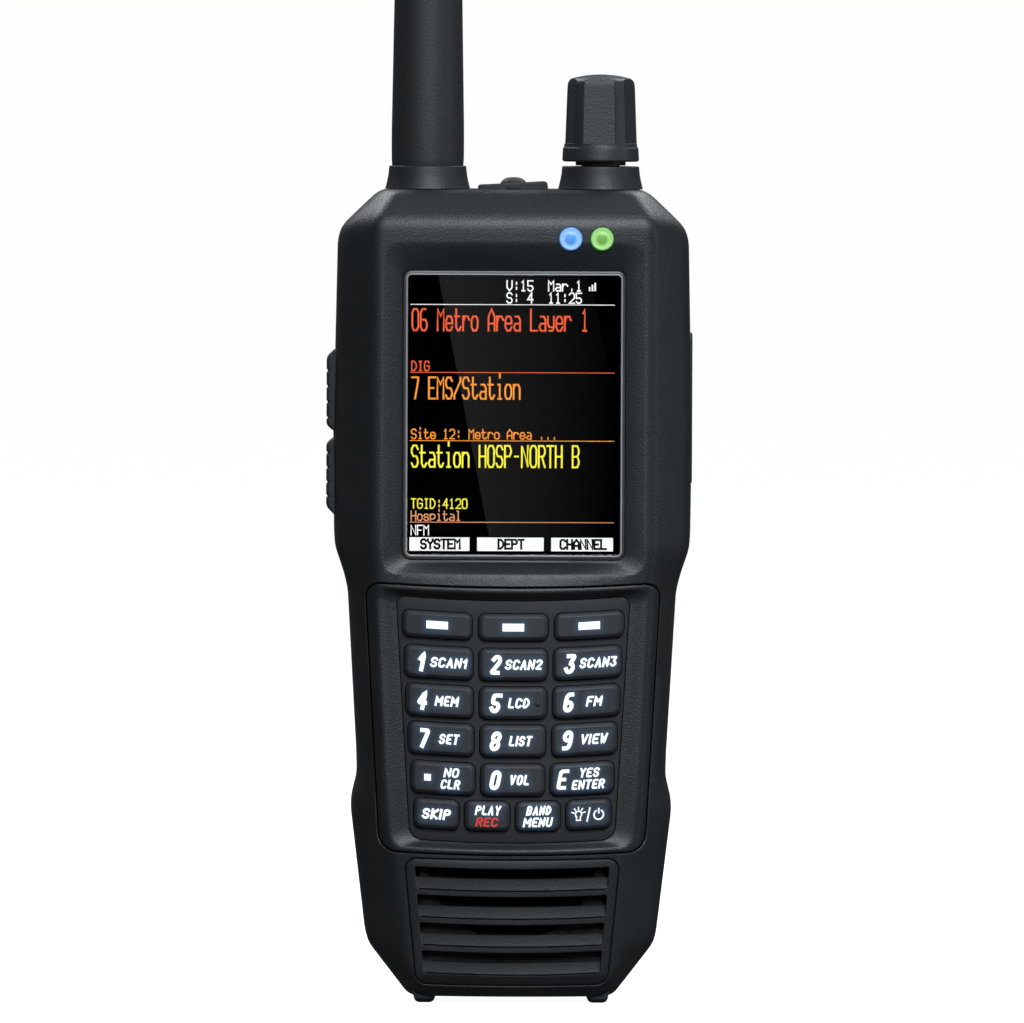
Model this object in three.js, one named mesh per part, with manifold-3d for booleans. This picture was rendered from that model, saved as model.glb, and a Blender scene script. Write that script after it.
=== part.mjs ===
// A hand-held radio scanner with a colour display, a 19-key pad, a volume knob and a whip antenna.
// Millimetres, +Z up. The front faces -Y, and the scanner stands on its two foot ridges at z = 0.
// Every part is made in the case's own frame, whose x = 0 and y = 0 are the case's middle; the group
// at the end is shifted so that its origin is the middle of the whole object's footprint.
import * as THREE from "three";
import { mergeVertices } from "three/addons/utils/BufferGeometryUtils.js";
import Module from "manifold-3d";

const wasm = await Module();
wasm.setup();

// ---------------------------------------------------------------- driving dimensions

const GAP = 0.3; // clearance between pieces that touch
const WALL = 2.0; // case wall
const PART_Y = 2.5; // the plane where the front and rear cases meet
const BACK_Y = 13; // back face of the rear case
const REAR_BEVEL = 5; // width and depth of the bevel along the rear edges
const SIDE_Y = -7.5; // where the front bevel meets the side wall
const CASE_BOTTOM = 1.2;
const CASE_TOP = 150.3;

// Half-width of the case at each height: foot corner, hip, waist, shoulder and cut top corner.
const HALF_WIDTH = [
  [1.2, 18.8], [11, 26.4], [13, 26.9], [35.5, 29.6], [38, 29.5], [42, 28.5], [46, 28.6],
  [76, 30.3], [79, 31], [84, 32.7], [87, 32.9], [105, 33.1], [141, 32.4], [143.5, 31.6],
  [149, 25.9], [150.3, 24.3],
];
// Half-width of the ridge between the front face and the side bevel.
const RIDGE = [
  [1.2, 15.5], [5, 19], [24, 21.6], [30, 22.8], [42, 24.2], [75, 25.4], [81, 25.7], [145, 25.7],
  [150.3, 22],
];
// y of the front face at the middle, and at the ridge.
const FACE_MIDDLE = [
  [1.2, -12.5], [4, -15.4], [28, -16.9], [40, -17.4], [77, -17.4], [84, -15.8], [144.6, -15.8],
  [150.3, -11],
];
const FACE_RIDGE = [
  [1.2, -10.5], [4, -13], [28, -13.9], [77, -14.2], [84, -14.8], [144.6, -14.8], [150.3, -10.2],
];

const TOP_Y = -1; // y of the antenna, jack and knob axes
const ANTENNA_X = -15.9;
const KNOB_X = 16.1;
const COLLAR_TOP = 154.6;
const COLLAR_RADIUS = [7.85, 7.05]; // at its foot and at its top
const ANTENNA_LENGTH = 165;
const ANTENNA_RADIUS = [6.75, 4.1]; // at its foot and near its tip
const KNOB_BOTTOM = 155.5;
const KNOB_HEIGHT = 16.2;
const KNOB_RADIUS = 7.05;
const KNOB_PANEL = 5.85; // distance of its five flat panels from the axis

const DISPLAY = { halfWidth: 20.5, bottom: 82.1, top: 135.4, radius: 1.5 };
const GLASS_Y = -13.9;
const DISH = { halfWidth: 27, bottom: 79.2, top: 140.4, radius: 3 };
const DISH_Y = -16; // just in front of the face, where the dish is as wide as DISH

const BEZEL = { top: 77.3, bottom: 28.3, topHalf: 27.2, bottomHalf: 24.4, radii: [2.6, 3.2] };
const MAT = { top: 74.9, bottom: 30.6, topHalf: 21.6, bottomHalf: 18.9, radii: [1.2, 2] };
const MAT_RECESS = 1.5; // how far the mat lies behind the front face
const MAT_THICK = 1.2;
const KEY_PROUD = 1.2; // how far a key stands out of the mat
const KEY_STEM = 1.6; // how far it reaches behind the mat's face
const KEY_DRAFT = 0.5;
const KEY_TRAVEL = 0.8;
const ROW_SAG = 0.9; // how much lower the middle of a row of keys is than the mat's sides
const PAD_BOARD_Y = -10.6;
const PLUNGER_Y = PAD_BOARD_Y - KEY_TRAVEL - 0.1; // end of each key's plunger, above its dome

const GRILLE = { top: 26.8, bottom: 3.7, topHalf: 19.85, bottomHalf: 17.6, radii: [2, 2.6] };
const SLOTS = 4;
const SLOT_TOP = 25.2;
const SLOT_PITCH = 5.18;
const SLOT_HEIGHT = 4.4;
const SLOT_OPEN = 2.0; // open part of each slot, above its louvre

const SPEAKER_Z = 27.2; // its upper part lies behind the keypad's board
const SPEAKER_RADIUS = 16.6;

const SIDE_KEY = { proud: 1.35, front: -5.6, back: 1.4, bottom: 90, middle: 104.9, top: 120.7 };
const SIDE_KEY_INNER = -30.8; // x of the face of its flange, just inside the case wall
const PORT = { front: -6.4, back: 0.8, bottom: 96, top: 124 };

const BAY = { halfWidth: 20.6, bottom: 18.8, top: 92.4, floorY: 2.9 };
const COVER = { bottom: 16, top: 97, outerY: 19.6, wall: 1.6, seatY: BACK_Y + GAP };
const LATCH = { halfWidth: 7, bottom: 23.4, top: 29.4, travel: 1.8 };

const CLIP = { halfWidth: 11, top: 96, bottom: 38, innerY: 24.3, thick: 1.8, pinY: 22.6, pinZ: 86 };
const CLIP_OUTER_Y = CLIP.innerY + CLIP.thick;

const FOOT_X = 16;

// ---------------------------------------------------------------- materials

const plain = (color, roughness, metalness = 0) =>
  new THREE.MeshStandardMaterial({ color, roughness, metalness });
const MATERIAL = {
  case: plain(0x1b1d1f, 0.62),
  rubber: plain(0x17181a, 0.8),
  keypad: plain(0x24262b, 0.7),
  frame: plain(0x6a6a6e, 0.35, 0.3),
  glass: plain(0x050506, 0.05),
  screen: plain(0x020203, 0.3),
  blue: plain(0x5e94ea, 0.3),
  green: plain(0x66b93c, 0.3),
  board: plain(0x14502c, 0.5),
  tin: plain(0xb9bcc0, 0.35, 1),
  brass: plain(0xc9a24a, 0.3, 1),
  steel: plain(0x9a9ca0, 0.3, 1),
  cone: plain(0x2a2622, 0.9),
  cell: plain(0x20374f, 0.5),
  darkSteel: plain(0x2b2c2e, 0.4, 0.8),
};

// ---------------------------------------------------------------- solid helpers

const vec2 = ([x, y]) => new THREE.Vector2(x, y);

// Straight-line value of a table of [z, value] rows at height z.
function along(table, z) {
  const last = table.length - 1;
  if (z <= table[0][0]) return table[0][1];
  for (let i = 1; i <= last; i++) {
    const [z0, v0] = table[i - 1];
    const [z1, v1] = table[i];
    if (z <= z1) return v0 + ((v1 - v0) * (z - z0)) / (z1 - z0);
  }
  return table[last][1];
}

// y of the front face between the two ridges: a shallow arch across the width.
function faceY(x, z) {
  const share = Math.min(1, Math.abs(x) / along(RIDGE, z));
  const middle = along(FACE_MIDDLE, z);
  return middle + (along(FACE_RIDGE, z) - middle) * share * share;
}

// A closed triangle mesh as a solid with its faces pointing out.
function solid(geometry) {
  const g = (geometry.index ? geometry.toNonIndexed() : geometry).clone();
  g.deleteAttribute("normal");
  g.deleteAttribute("uv");
  const merged = mergeVertices(g, 1e-4);
  const vertProperties = new Float32Array(merged.attributes.position.array);
  const triVerts = new Uint32Array(merged.index.array);
  const made = new wasm.Manifold(new wasm.Mesh({ numProp: 3, vertProperties, triVerts }));
  if (made.volume() > 0) return made;
  for (let i = 0; i < triVerts.length; i += 3) {
    [triVerts[i + 1], triVerts[i + 2]] = [triVerts[i + 2], triVerts[i + 1]];
  }
  return new wasm.Manifold(new wasm.Mesh({ numProp: 3, vertProperties, triVerts }));
}

function geometryOf(made) {
  const { numProp, numVert, vertProperties, triVerts } = made.getMesh();
  const positions = new Float32Array(numVert * 3);
  for (let i = 0; i < numVert; i++) {
    positions.set(vertProperties.subarray(i * numProp, i * numProp + 3), i * 3);
  }
  return new THREE.BufferGeometry()
    .setAttribute("position", new THREE.BufferAttribute(positions, 3))
    .setIndex(new THREE.BufferAttribute(triVerts, 1));
}

// A skin over loops of equal length, closed by a flat cap at each end. flat(p) drops a point of an
// end loop to the two coordinates of its plane.
function loft(loops, flat) {
  const count = loops[0].length;
  const positions = loops.flat().flatMap((p) => [p.x, p.y, p.z]);
  const index = [];
  for (let k = 0; k + 1 < loops.length; k++) {
    for (let i = 0; i < count; i++) {
      const a = k * count + i;
      const b = k * count + ((i + 1) % count);
      index.push(a, b, b + count, a, b + count, a + count);
    }
  }
  const cap = (loop, offset, flip) => {
    for (const [a, b, c] of THREE.ShapeUtils.triangulateShape(loop.map(flat), [])) {
      if (flip) index.push(offset + c, offset + b, offset + a);
      else index.push(offset + a, offset + b, offset + c);
    }
  };
  const turned = THREE.ShapeUtils.area(loops[0].map(flat)) < 0;
  cap(loops[0], 0, !turned);
  cap(loops[loops.length - 1], (loops.length - 1) * count, turned);
  const g = new THREE.BufferGeometry().setAttribute(
    "position",
    new THREE.BufferAttribute(new Float32Array(positions), 3),
  );
  g.setIndex(index);
  return solid(g);
}
const dropX = (p) => new THREE.Vector2(p.y, p.z);
const dropY = (p) => new THREE.Vector2(p.x, p.z);
const dropZ = (p) => new THREE.Vector2(p.x, p.y);

const box = (x0, x1, y0, y1, z0, z1) =>
  solid(
    new THREE.BoxGeometry(x1 - x0, y1 - y0, z1 - z0).translate(
      (x0 + x1) / 2,
      (y0 + y1) / 2,
      (z0 + z1) / 2,
    ),
  );

// A polygon with each corner rounded to its radius by an arc of `steps` chords.
function rounded(corners, radii, steps = 3) {
  const points = [];
  corners.forEach((corner, i) => {
    const here = vec2(corner);
    const before = vec2(corners[(i + corners.length - 1) % corners.length]).sub(here);
    const after = vec2(corners[(i + 1) % corners.length]).sub(here);
    const half = Math.acos(before.dot(after) / (before.length() * after.length())) / 2;
    const radius = radii[i % radii.length];
    const reach = radius / Math.tan(half);
    const start = here.clone().addScaledVector(before.normalize(), reach);
    const end = here.clone().addScaledVector(after.normalize(), reach);
    const towards = before.clone().add(after).normalize();
    const centre = here.clone().addScaledVector(towards, radius / Math.sin(half));
    const from = start.sub(centre).angle();
    let turn = end.sub(centre).angle() - from;
    if (turn > Math.PI) turn -= 2 * Math.PI;
    if (turn < -Math.PI) turn += 2 * Math.PI;
    for (let k = 0; k <= steps; k++) {
      const a = from + (turn * k) / steps;
      points.push([centre.x + radius * Math.cos(a), centre.y + radius * Math.sin(a)]);
    }
  });
  return points;
}

// Outline, in x and z, of a plate that is symmetric about x = 0 and may be wider at the top.
function plateOutline({ top, bottom, topHalf, bottomHalf, radii }, grow = 0) {
  const [topRadius, bottomRadius] = radii.map((r) => r + grow);
  const corners = [
    [-bottomHalf - grow, bottom - grow],
    [bottomHalf + grow, bottom - grow],
    [topHalf + grow, top + grow],
    [-topHalf - grow, top + grow],
  ];
  return rounded(corners, [bottomRadius, bottomRadius, topRadius, topRadius]);
}

const straight = ({ halfWidth, bottom, top, radius }) => ({
  top,
  bottom,
  topHalf: halfWidth,
  bottomHalf: halfWidth,
  radii: [radius, radius],
});

// An outline in x and z, extruded from y0 to y1.
function prism(outline, y0, y1) {
  const shape = new THREE.Shape(outline.map(vec2));
  const g = new THREE.ExtrudeGeometry(shape, { depth: y1 - y0, bevelEnabled: false });
  return solid(g.rotateX(Math.PI / 2).translate(0, y1, 0));
}

// A tapered plug between one outline at y0 and another, with as many points, at y1.
const taper = (front, y0, back, y1) =>
  loft(
    [
      front.map(([x, z]) => new THREE.Vector3(x, y0, z)),
      back.map(([x, z]) => new THREE.Vector3(x, y1, z)),
    ],
    dropY,
  );

// A profile of [radius, height] points turned about an upright axis at x, y.
function turned(profile, x, y, sides = 24) {
  const g = new THREE.LatheGeometry(profile.map(vec2), sides);
  return solid(g.rotateX(Math.PI / 2).translate(x, y, 0));
}

const upright = (radius, z0, z1, x, y, sides = 20) =>
  turned([[0, z0], [radius, z0], [radius, z1], [0, z1]], x, y, sides);

// A cylinder along Y or X, at the two coordinates across it.
const alongY = (radius, y0, y1, x, z, sides = 16) =>
  solid(new THREE.CylinderGeometry(radius, radius, y1 - y0, sides).translate(x, (y0 + y1) / 2, z));
const alongX = (radius, x0, x1, y, z, sides = 16) =>
  solid(
    new THREE.CylinderGeometry(radius, radius, x1 - x0, sides)
      .rotateZ(Math.PI / 2)
      .translate((x0 + x1) / 2, y, z),
  );

const group = new THREE.Group();
function add(name, made, material) {
  const mesh = new THREE.Mesh(geometryOf(made), MATERIAL[material]);
  mesh.name = name;
  group.add(mesh);
}

// ---------------------------------------------------------------- case

// The whole case as one solid, with every surface moved in by `inset`.
function body(inset) {
  const heights = [...HALF_WIDTH, ...RIDGE, ...FACE_MIDDLE]
    .map(([z]) => z)
    .sort((a, b) => a - b)
    .filter((z, i, all) => i === 0 || z - all[i - 1] > 1.1);
  const bottom = CASE_BOTTOM + inset;
  const top = CASE_TOP - inset;
  const inside = heights.filter((z) => z > bottom + 0.5 && z < top - 0.5);
  const loops = [bottom, ...inside, top].map((z) => {
    const half = along(HALF_WIDTH, z) - inset;
    const ridge = along(RIDGE, z) - inset * 0.7;
    const back = BACK_Y - inset;
    const right = [
      ...[0.36, 0.7, 1].map((share) => [
        ridge * share,
        faceY(share * along(RIDGE, z), z) + inset,
      ]),
      [half, SIDE_Y + inset * 0.5],
      [half, back - REAR_BEVEL],
      [half - REAR_BEVEL, back],
    ];
    const left = right.map(([x, y]) => [-x, y]).reverse();
    return [...left, ...right].map(([x, y]) => new THREE.Vector3(x, y, z));
  });
  return loft(loops, dropZ);
}

const outer = body(0);
const shell = outer.subtract(body(WALL));
const frontHalf = box(-60, 60, -60, PART_Y - GAP / 2, -10, 200);
const rearHalf = box(-60, 60, PART_Y + GAP / 2, 60, -10, 200);

const bezelHole = prism(plateOutline(BEZEL, GAP), -40, -6);
const grilleHole = prism(plateOutline(GRILLE, GAP), -40, -6);
const displayHole = prism(plateOutline(straight(DISPLAY), GAP), -40, 0);
const dishCut = taper(
  plateOutline(straight(DISH)),
  DISH_Y,
  plateOutline(straight(DISPLAY), GAP),
  GLASS_Y,
);

// Screws, and the box of the rib that ties each one's boss to the nearest wall.
const SCREWS = [
  { x: -25.5, z: 137, rib: [-32, -25.5, 136, 138] },
  { x: 25.5, z: 137, rib: [25.5, 32, 136, 138] },
  { x: -19, z: 10.4, rib: [-20, -18, 2, 10.4] },
  { x: 19, z: 10.4, rib: [18, 20, 2, 10.4] },
];
const BOSS_RADIUS = 3;
const BOSS_FRONT = -6;
const boss = ({ x, z, rib }, y0, y1) =>
  alongY(BOSS_RADIUS, y0, y1, x, z).add(box(rib[0], rib[1], y0, y1, rib[2], rib[3]));

const leftSide = (z) => -along(HALF_WIDTH, z);
const sideKeyHole = box(
  -40, -28,
  SIDE_KEY.front - GAP, SIDE_KEY.back + GAP,
  SIDE_KEY.bottom - GAP, SIDE_KEY.top + GAP,
);
const portHole = box(28, 40, PORT.front - GAP, PORT.back + GAP, PORT.bottom - GAP, PORT.top + GAP);

const topHoles = upright(3.5, 140, 160, ANTENNA_X, TOP_Y)
  .add(upright(3.9, 140, 160, KNOB_X, TOP_Y))
  .add(upright(2.5, 140, 160, 0, TOP_Y));

const DISPLAY_SEAT = { halfWidth: 23.4, bottom: 79.6, top: 138.6, radius: 1.5 };

function frontCase() {
  const seat = prism(plateOutline(straight(DISPLAY_SEAT)), -14.4, -11.4);
  let made = shell.add(seat);
  for (const screw of SCREWS) made = made.add(boss(screw, BOSS_FRONT, PART_Y));
  made = made.intersect(frontHalf).intersect(outer);
  for (const { x, z } of SCREWS) made = made.subtract(alongY(1.5, BOSS_FRONT + 1, PART_Y + 1, x, z, 12));
  for (const { x } of LEDS) made = made.subtract(alongY(LED_RADIUS + GAP, -30, -10, x, LED_Z));
  return made
    .add(feet(-9, PART_Y - GAP / 2))
    .subtract(dishCut)
    .subtract(displayHole)
    .subtract(bezelHole)
    .subtract(grilleHole)
    .subtract(sideKeyHole)
    .subtract(portHole)
    .subtract(topHoles);
}

function rearCase() {
  const bay = box(
    -BAY.halfWidth - 1.5, BAY.halfWidth + 1.5,
    BAY.floorY - 1.5, BACK_Y - 0.5,
    BAY.bottom - 1.5, BAY.top + 1.5,
  );
  let made = shell.intersect(rearHalf).add(bay);
  for (const screw of SCREWS) {
    made = made.add(boss(screw, PART_Y + GAP / 2, BACK_Y - 1).intersect(outer));
  }
  for (const { x, z } of SCREWS) {
    made = made
      .subtract(alongY(1.5, -10, 30, x, z, 12))
      .subtract(alongY(2.7, BACK_Y - 2.6, 30, x, z));
  }
  const bayRoom = box(
    -BAY.halfWidth, BAY.halfWidth, BAY.floorY, 30, BAY.bottom, BAY.top,
  );
  const hookSlot = box(-12, 12, BACK_Y - 4, 30, COVER.top - 2.4, COVER.top + 1.4);
  return made
    .add(feet(PART_Y + GAP / 2, BACK_Y - 0.4))
    .subtract(bayRoom)
    .subtract(topHoles)
    .subtract(hookSlot);
}

// The two rounded ridges under a case half, from y0 to y1, that the scanner stands on.
function feet(y0, y1) {
  const outline = [[-2.3, 1.8], [-1.9, 0.6], [-1.2, 0], [1.2, 0], [1.9, 0.6], [2.3, 1.8]];
  const ridge = (x) => prism(outline.map(([dx, z]) => [x + dx, z]), y0, y1);
  return ridge(-FOOT_X).add(ridge(FOOT_X));
}

const LED_RADIUS = 2.15;
const LED_Z = 141.4;
const LEDS = [
  { name: "led_lens_blue", x: 10.3, material: "blue" },
  { name: "led_lens_green", x: 16.1, material: "green" },
];

add("front_case", frontCase(), "case");
add("rear_case", rearCase(), "case");
SCREWS.forEach(({ x, z }, i) => {
  const head = alongY(2.3, BACK_Y - 2.3, BACK_Y - 0.6, x, z);
  const drive = alongY(1, BACK_Y - 1.4, BACK_Y, x, z, 6);
  const shank = alongY(1.2, BOSS_FRONT + 2, BACK_Y - 2, x, z, 10);
  add(`case_screw_${i + 1}`, head.add(shank).subtract(drive), "darkSteel");
});

// ---------------------------------------------------------------- keypad

// The part of the case's skin between two depths that lies inside an outline.
const skin = (outline, from, to) =>
  body(from).subtract(body(to)).intersect(prism(outline, -40, -4));

// Where the bevel round the mat starts, in front of the face.
const SLOPE = { top: 76.6, bottom: 28.8, topHalf: 25.2, bottomHalf: 22.3, radii: MAT.radii };

function keypadBezel() {
  const rim = skin(plateOutline(BEZEL), 0, WALL + GAP + 1);
  const flange = skin(plateOutline(BEZEL, 0.6), WALL + GAP, WALL + GAP + 1);
  const window = plateOutline(MAT, GAP);
  const bevel = taper(plateOutline(SLOPE), -19.4, window, -13.6);
  return rim.add(flange).subtract(bevel).subtract(prism(window, -40, 0));
}
add("keypad_bezel", keypadBezel(), "case");

// Rows of the keypad from the top: height of the row's middle, key height, key width, and x of
// the outer column. The last row has four keys.
const KEY_ROWS = [
  { z: 70.1, tall: 5, wide: 12.9, column: 14.1, names: ["soft_left", "soft_middle", "soft_right"] },
  { z: 63.2, tall: 6, wide: 12.7, column: 13.8, names: ["1", "2", "3"] },
  { z: 56.1, tall: 6, wide: 12.5, column: 13.6, names: ["4", "5", "6"] },
  { z: 49.1, tall: 6, wide: 12.2, column: 13.3, names: ["7", "8", "9"] },
  { z: 41.9, tall: 6, wide: 11.9, column: 12.9, names: ["dot", "0", "enter"] },
  { z: 35.2, tall: 5.6, wide: 8.4, column: 14.1, names: ["avoid", "replay", "service", "power"] },
];
const KEY_RADIUS = 1.3;

// Every key's place on the mat, and how far it turns about Z to face straight out of the arch.
const KEYS = KEY_ROWS.flatMap(({ z: rowZ, tall, wide, column, names }) =>
  names.map((name, i) => {
    const x = -column + (2 * column * i) / (names.length - 1);
    const z = rowZ - ROW_SAG * (0.5 - (x / MAT.topHalf) ** 2);
    const slope = (faceY(x + 2, z) - faceY(x - 2, z)) / 4;
    return { name: `key_${name}`, x, z, tall, wide, turn: Math.atan(slope) };
  }),
);

// A loft of rounded rectangles [y, grow], centred on a key's place on the mat's face.
function keyLoft(key, levels) {
  const { x, z, tall, wide, turn } = key;
  const loops = levels.map(([y, grow]) => {
    const w = wide / 2 + grow;
    const h = tall / 2 + grow;
    const corners = [[-w, -h], [w, -h], [w, h], [-w, h]];
    return rounded(corners, [KEY_RADIUS + grow], 2).map(([u, v]) => new THREE.Vector3(u, y, v));
  });
  const place = new THREE.Matrix4()
    .makeTranslation(x, faceY(x, z) + MAT_RECESS, z)
    .multiply(new THREE.Matrix4().makeRotationZ(turn));
  return loft(
    loops.map((loop) => loop.map((p) => p.applyMatrix4(place))),
    dropY,
  );
}

function keypadMat() {
  const sheet = skin(plateOutline(MAT), MAT_RECESS, MAT_RECESS + MAT_THICK);
  return KEYS.reduce(
    (made, key) => made.subtract(keyLoft(key, [[-6, GAP], [6, GAP]])),
    sheet,
  );
}
add("keypad_mat", keypadMat(), "keypad");
for (const key of KEYS) {
  const levels = [[-KEY_PROUD, -KEY_DRAFT], [-KEY_PROUD + 0.5, 0], [KEY_STEM, 0]];
  const plunger = alongY(1.5, faceY(key.x, key.z) + MAT_RECESS, PLUNGER_Y, key.x, key.z, 8);
  add(key.name, keyLoft(key, levels).add(plunger), "keypad");
}
add("keypad_board", box(-19.8, 19.8, PAD_BOARD_Y, PAD_BOARD_Y + 1, 32.4, 75.5), "board");

// ---------------------------------------------------------------- speaker and grille

function grille() {
  const rim = skin(plateOutline(GRILLE), 0, WALL + GAP + 1);
  const flange = skin(plateOutline(GRILLE, 0.6), WALL + GAP, WALL + GAP + 1);
  const slots = Array.from({ length: SLOTS }, (_, i) => {
    const top = SLOT_TOP - i * SLOT_PITCH;
    const half = along([[3.7, 15.9], [26.8, 17.9]], top);
    const stations = [-half, -half / 2, 0, half / 2, half];
    const loops = stations.map((x) => {
      const face = faceY(x, top);
      const side = [
        [face - 3, top - SLOT_HEIGHT], [face - 3, top], [face + 8, top],
        [face + 8, top - SLOT_OPEN], [face + 1.7, top - SLOT_OPEN],
        [face + 0.5, top - SLOT_HEIGHT],
      ];
      return side.map(([y, z]) => new THREE.Vector3(x, y, z));
    });
    return loft(loops, dropX);
  });
  return slots.reduce((made, slot) => made.subtract(slot), rim.add(flange));
}
add("speaker_grille", grille(), "case");

function baffle() {
  const plate = box(-17, 17, -9.2, -8.4, 7, 31.8);
  return plate.subtract(alongY(SPEAKER_RADIUS - 0.8, -12, -6, 0, SPEAKER_Z, 40));
}
add("speaker_baffle", baffle(), "case");
// A shallow dish of two radii along Y: the cone of the speaker and the dome of a lamp lens.
const cone = (front, back, y0, y1, x, z, sides = 24) =>
  solid(new THREE.CylinderGeometry(back, front, y1 - y0, sides).translate(x, (y0 + y1) / 2, z));
add(
  "speaker",
  alongY(SPEAKER_RADIUS, -8.1, -6.9, 0, SPEAKER_Z, 32)
    .add(alongY(8, -7, -5.9, 0, SPEAKER_Z, 20))
    .subtract(cone(14.4, 6, -8.2, -7.2, 0, SPEAKER_Z)),
  "cone",
);

// ---------------------------------------------------------------- display and lights

function displayFrame() {
  const ring = prism(plateOutline(straight(DISPLAY)), GLASS_Y - 0.4, -10.2);
  const flange = prism(plateOutline(straight(DISPLAY), 1.2), -11.1, -10.2);
  const room = prism(plateOutline(straight(DISPLAY), -0.8), -20, 0);
  return ring.add(flange).subtract(room);
}
add("display_frame", displayFrame(), "frame");
add("display_lens", prism(plateOutline(straight(DISPLAY), -1.1), GLASS_Y, GLASS_Y + 1.2), "glass");
add(
  "lcd_module",
  prism(plateOutline(straight({ ...DISPLAY, radius: 1.6 }), -1.1), GLASS_Y + 1.5, GLASS_Y + 4.2),
  "screen",
);
for (const { name, x, material } of LEDS) {
  const face = faceY(x, LED_Z);
  const lens = alongY(LED_RADIUS, face - 0.1, -10.6, x, LED_Z, 20);
  const dome = cone(1.1, LED_RADIUS, face - 0.5, face - 0.1, x, LED_Z, 20);
  const flange = alongY(LED_RADIUS + 0.5, -11.2, -10.4, x, LED_Z, 20);
  add(name, lens.add(dome).add(flange), material);
}

// ---------------------------------------------------------------- top: antenna, jack and knob

function collar(x, bore) {
  const [foot, top] = COLLAR_RADIUS;
  const z0 = CASE_TOP + GAP;
  const profile = [
    [bore, z0], [foot, z0], [foot - 0.35, z0 + 1.2], [top + 0.1, COLLAR_TOP - 0.5],
    [top - 0.4, COLLAR_TOP], [bore, COLLAR_TOP], [bore, z0],
  ];
  return turned(profile, x, TOP_Y, 32);
}
add("antenna_collar", collar(ANTENNA_X, 4.9), "case");
add("knob_collar", collar(KNOB_X, 4.2), "case");

// The threaded socket on the case, and the antenna that screws onto it.
const SOCKET_TOP = 160;
add(
  "antenna_socket",
  box(ANTENNA_X - 3.2, ANTENNA_X + 3.2, TOP_Y - 3.2, TOP_Y + 3.2, 140, 147.5)
    .add(upright(3.1, 147, SOCKET_TOP, ANTENNA_X, TOP_Y))
    .subtract(upright(0.7, 155, SOCKET_TOP + 1, ANTENNA_X, TOP_Y, 8)),
  "brass",
);
function antennaWhip() {
  const z0 = COLLAR_TOP + GAP;
  const tip = z0 + ANTENNA_LENGTH;
  const [foot, top] = ANTENNA_RADIUS;
  const bore = 4.7;
  const profile = [
    [0, SOCKET_TOP + 3], [bore, SOCKET_TOP + 3], [bore, z0], [foot - 0.2, z0], [foot, z0 + 0.3],
    [top, tip - 3], [top - 0.5, tip - 1.4], [top - 1.7, tip - 0.3], [top - 2.6, tip], [0, tip],
  ];
  return turned(profile, ANTENNA_X, TOP_Y, 28);
}
add("antenna_whip", antennaWhip(), "rubber");
const NUT_RADIUS = 4.4;
add(
  "antenna_nut",
  turned(
    [
      [3.4, CASE_TOP + 1.2], [NUT_RADIUS, CASE_TOP + 1.2], [NUT_RADIUS, SOCKET_TOP + 2.6],
      [0, SOCKET_TOP + 2.6], [0, SOCKET_TOP + 0.4], [3.4, SOCKET_TOP + 0.4], [3.4, CASE_TOP + 1.2],
    ],
    ANTENNA_X,
    TOP_Y,
    24,
  ),
  "brass",
);

add("encoder_body", box(KNOB_X - 5.6, KNOB_X + 5.6, TOP_Y - 5, TOP_Y + 5, 140, 146.6), "steel");
const SHAFT_FOOT = 147.4; // leaves room for the shaft to be pressed
const KNOB_BORE = 3.4;
add(
  "encoder_shaft",
  upright(3.5, SHAFT_FOOT, 157, KNOB_X, TOP_Y).add(upright(3.1, 156, 166, KNOB_X, TOP_Y)),
  "steel",
);

// A knob with a skirt and five flat panels, one of them turned a little from the front.
function knob() {
  const z0 = KNOB_BOTTOM;
  const skirt = 2.7;
  const top = z0 + KNOB_HEIGHT;
  const profile = [
    [0, 166.4], [KNOB_BORE, 166.4], [KNOB_BORE, 158], [4.2, 157.4], [4.2, z0],
    [KNOB_RADIUS - 0.2, z0], [KNOB_RADIUS, z0 + 0.4], [KNOB_RADIUS - 0.1, z0 + skirt],
    [KNOB_RADIUS - 0.35, z0 + skirt + 0.2], [6.45, top - 1.8], [5.7, top - 0.6], [4.4, top - 0.15],
    [2.6, top], [0, top],
  ];
  let made = turned(profile, KNOB_X, TOP_Y, 36);
  const tall = KNOB_HEIGHT - skirt - 2.6;
  for (let i = 0; i < 5; i++) {
    const cut = new THREE.BoxGeometry(2, 6, tall)
      .translate(KNOB_PANEL + 1, 0, z0 + skirt + 0.6 + tall / 2)
      .rotateZ((Math.PI / 180) * (72 * i - 94))
      .translate(KNOB_X, TOP_Y, 0);
    made = made.subtract(solid(cut));
  }
  return made;
}
add("volume_knob", knob(), "rubber");

add(
  "headphone_jack",
  box(-3.2, 3.2, TOP_Y - 3.2, TOP_Y + 3.2, 136, 147.6)
    .add(upright(2.3, 147, CASE_TOP - 0.3, 0, TOP_Y, 16))
    .subtract(upright(1.75, 137, CASE_TOP + 1, 0, TOP_Y, 16)),
  "steel",
);
// The rubber cover over the jack: a strap with a raised grip, and a short plug below it.
function jackCover() {
  const z0 = CASE_TOP + GAP;
  const strap = prism(
    [[-6.4, z0], [6.4, z0], [6.4, z0 + 1.3], [3, z0 + 1], [-3, z0 + 0.6], [-6.4, z0 + 0.5]],
    TOP_Y - 2.9,
    TOP_Y + 2.9,
  );
  const dome = turned(
    [[0, z0 + 0.3], [2.7, z0 + 0.3], [2.4, z0 + 1.2], [1.5, z0 + 1.9], [0, z0 + 2.1]],
    0,
    TOP_Y,
    20,
  );
  return strap.add(dome).add(upright(1.35, CASE_TOP - 1.6, z0 + 0.4, 0, TOP_Y, 14));
}
add("jack_cover", jackCover(), "rubber");

// ---------------------------------------------------------------- sides

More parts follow.
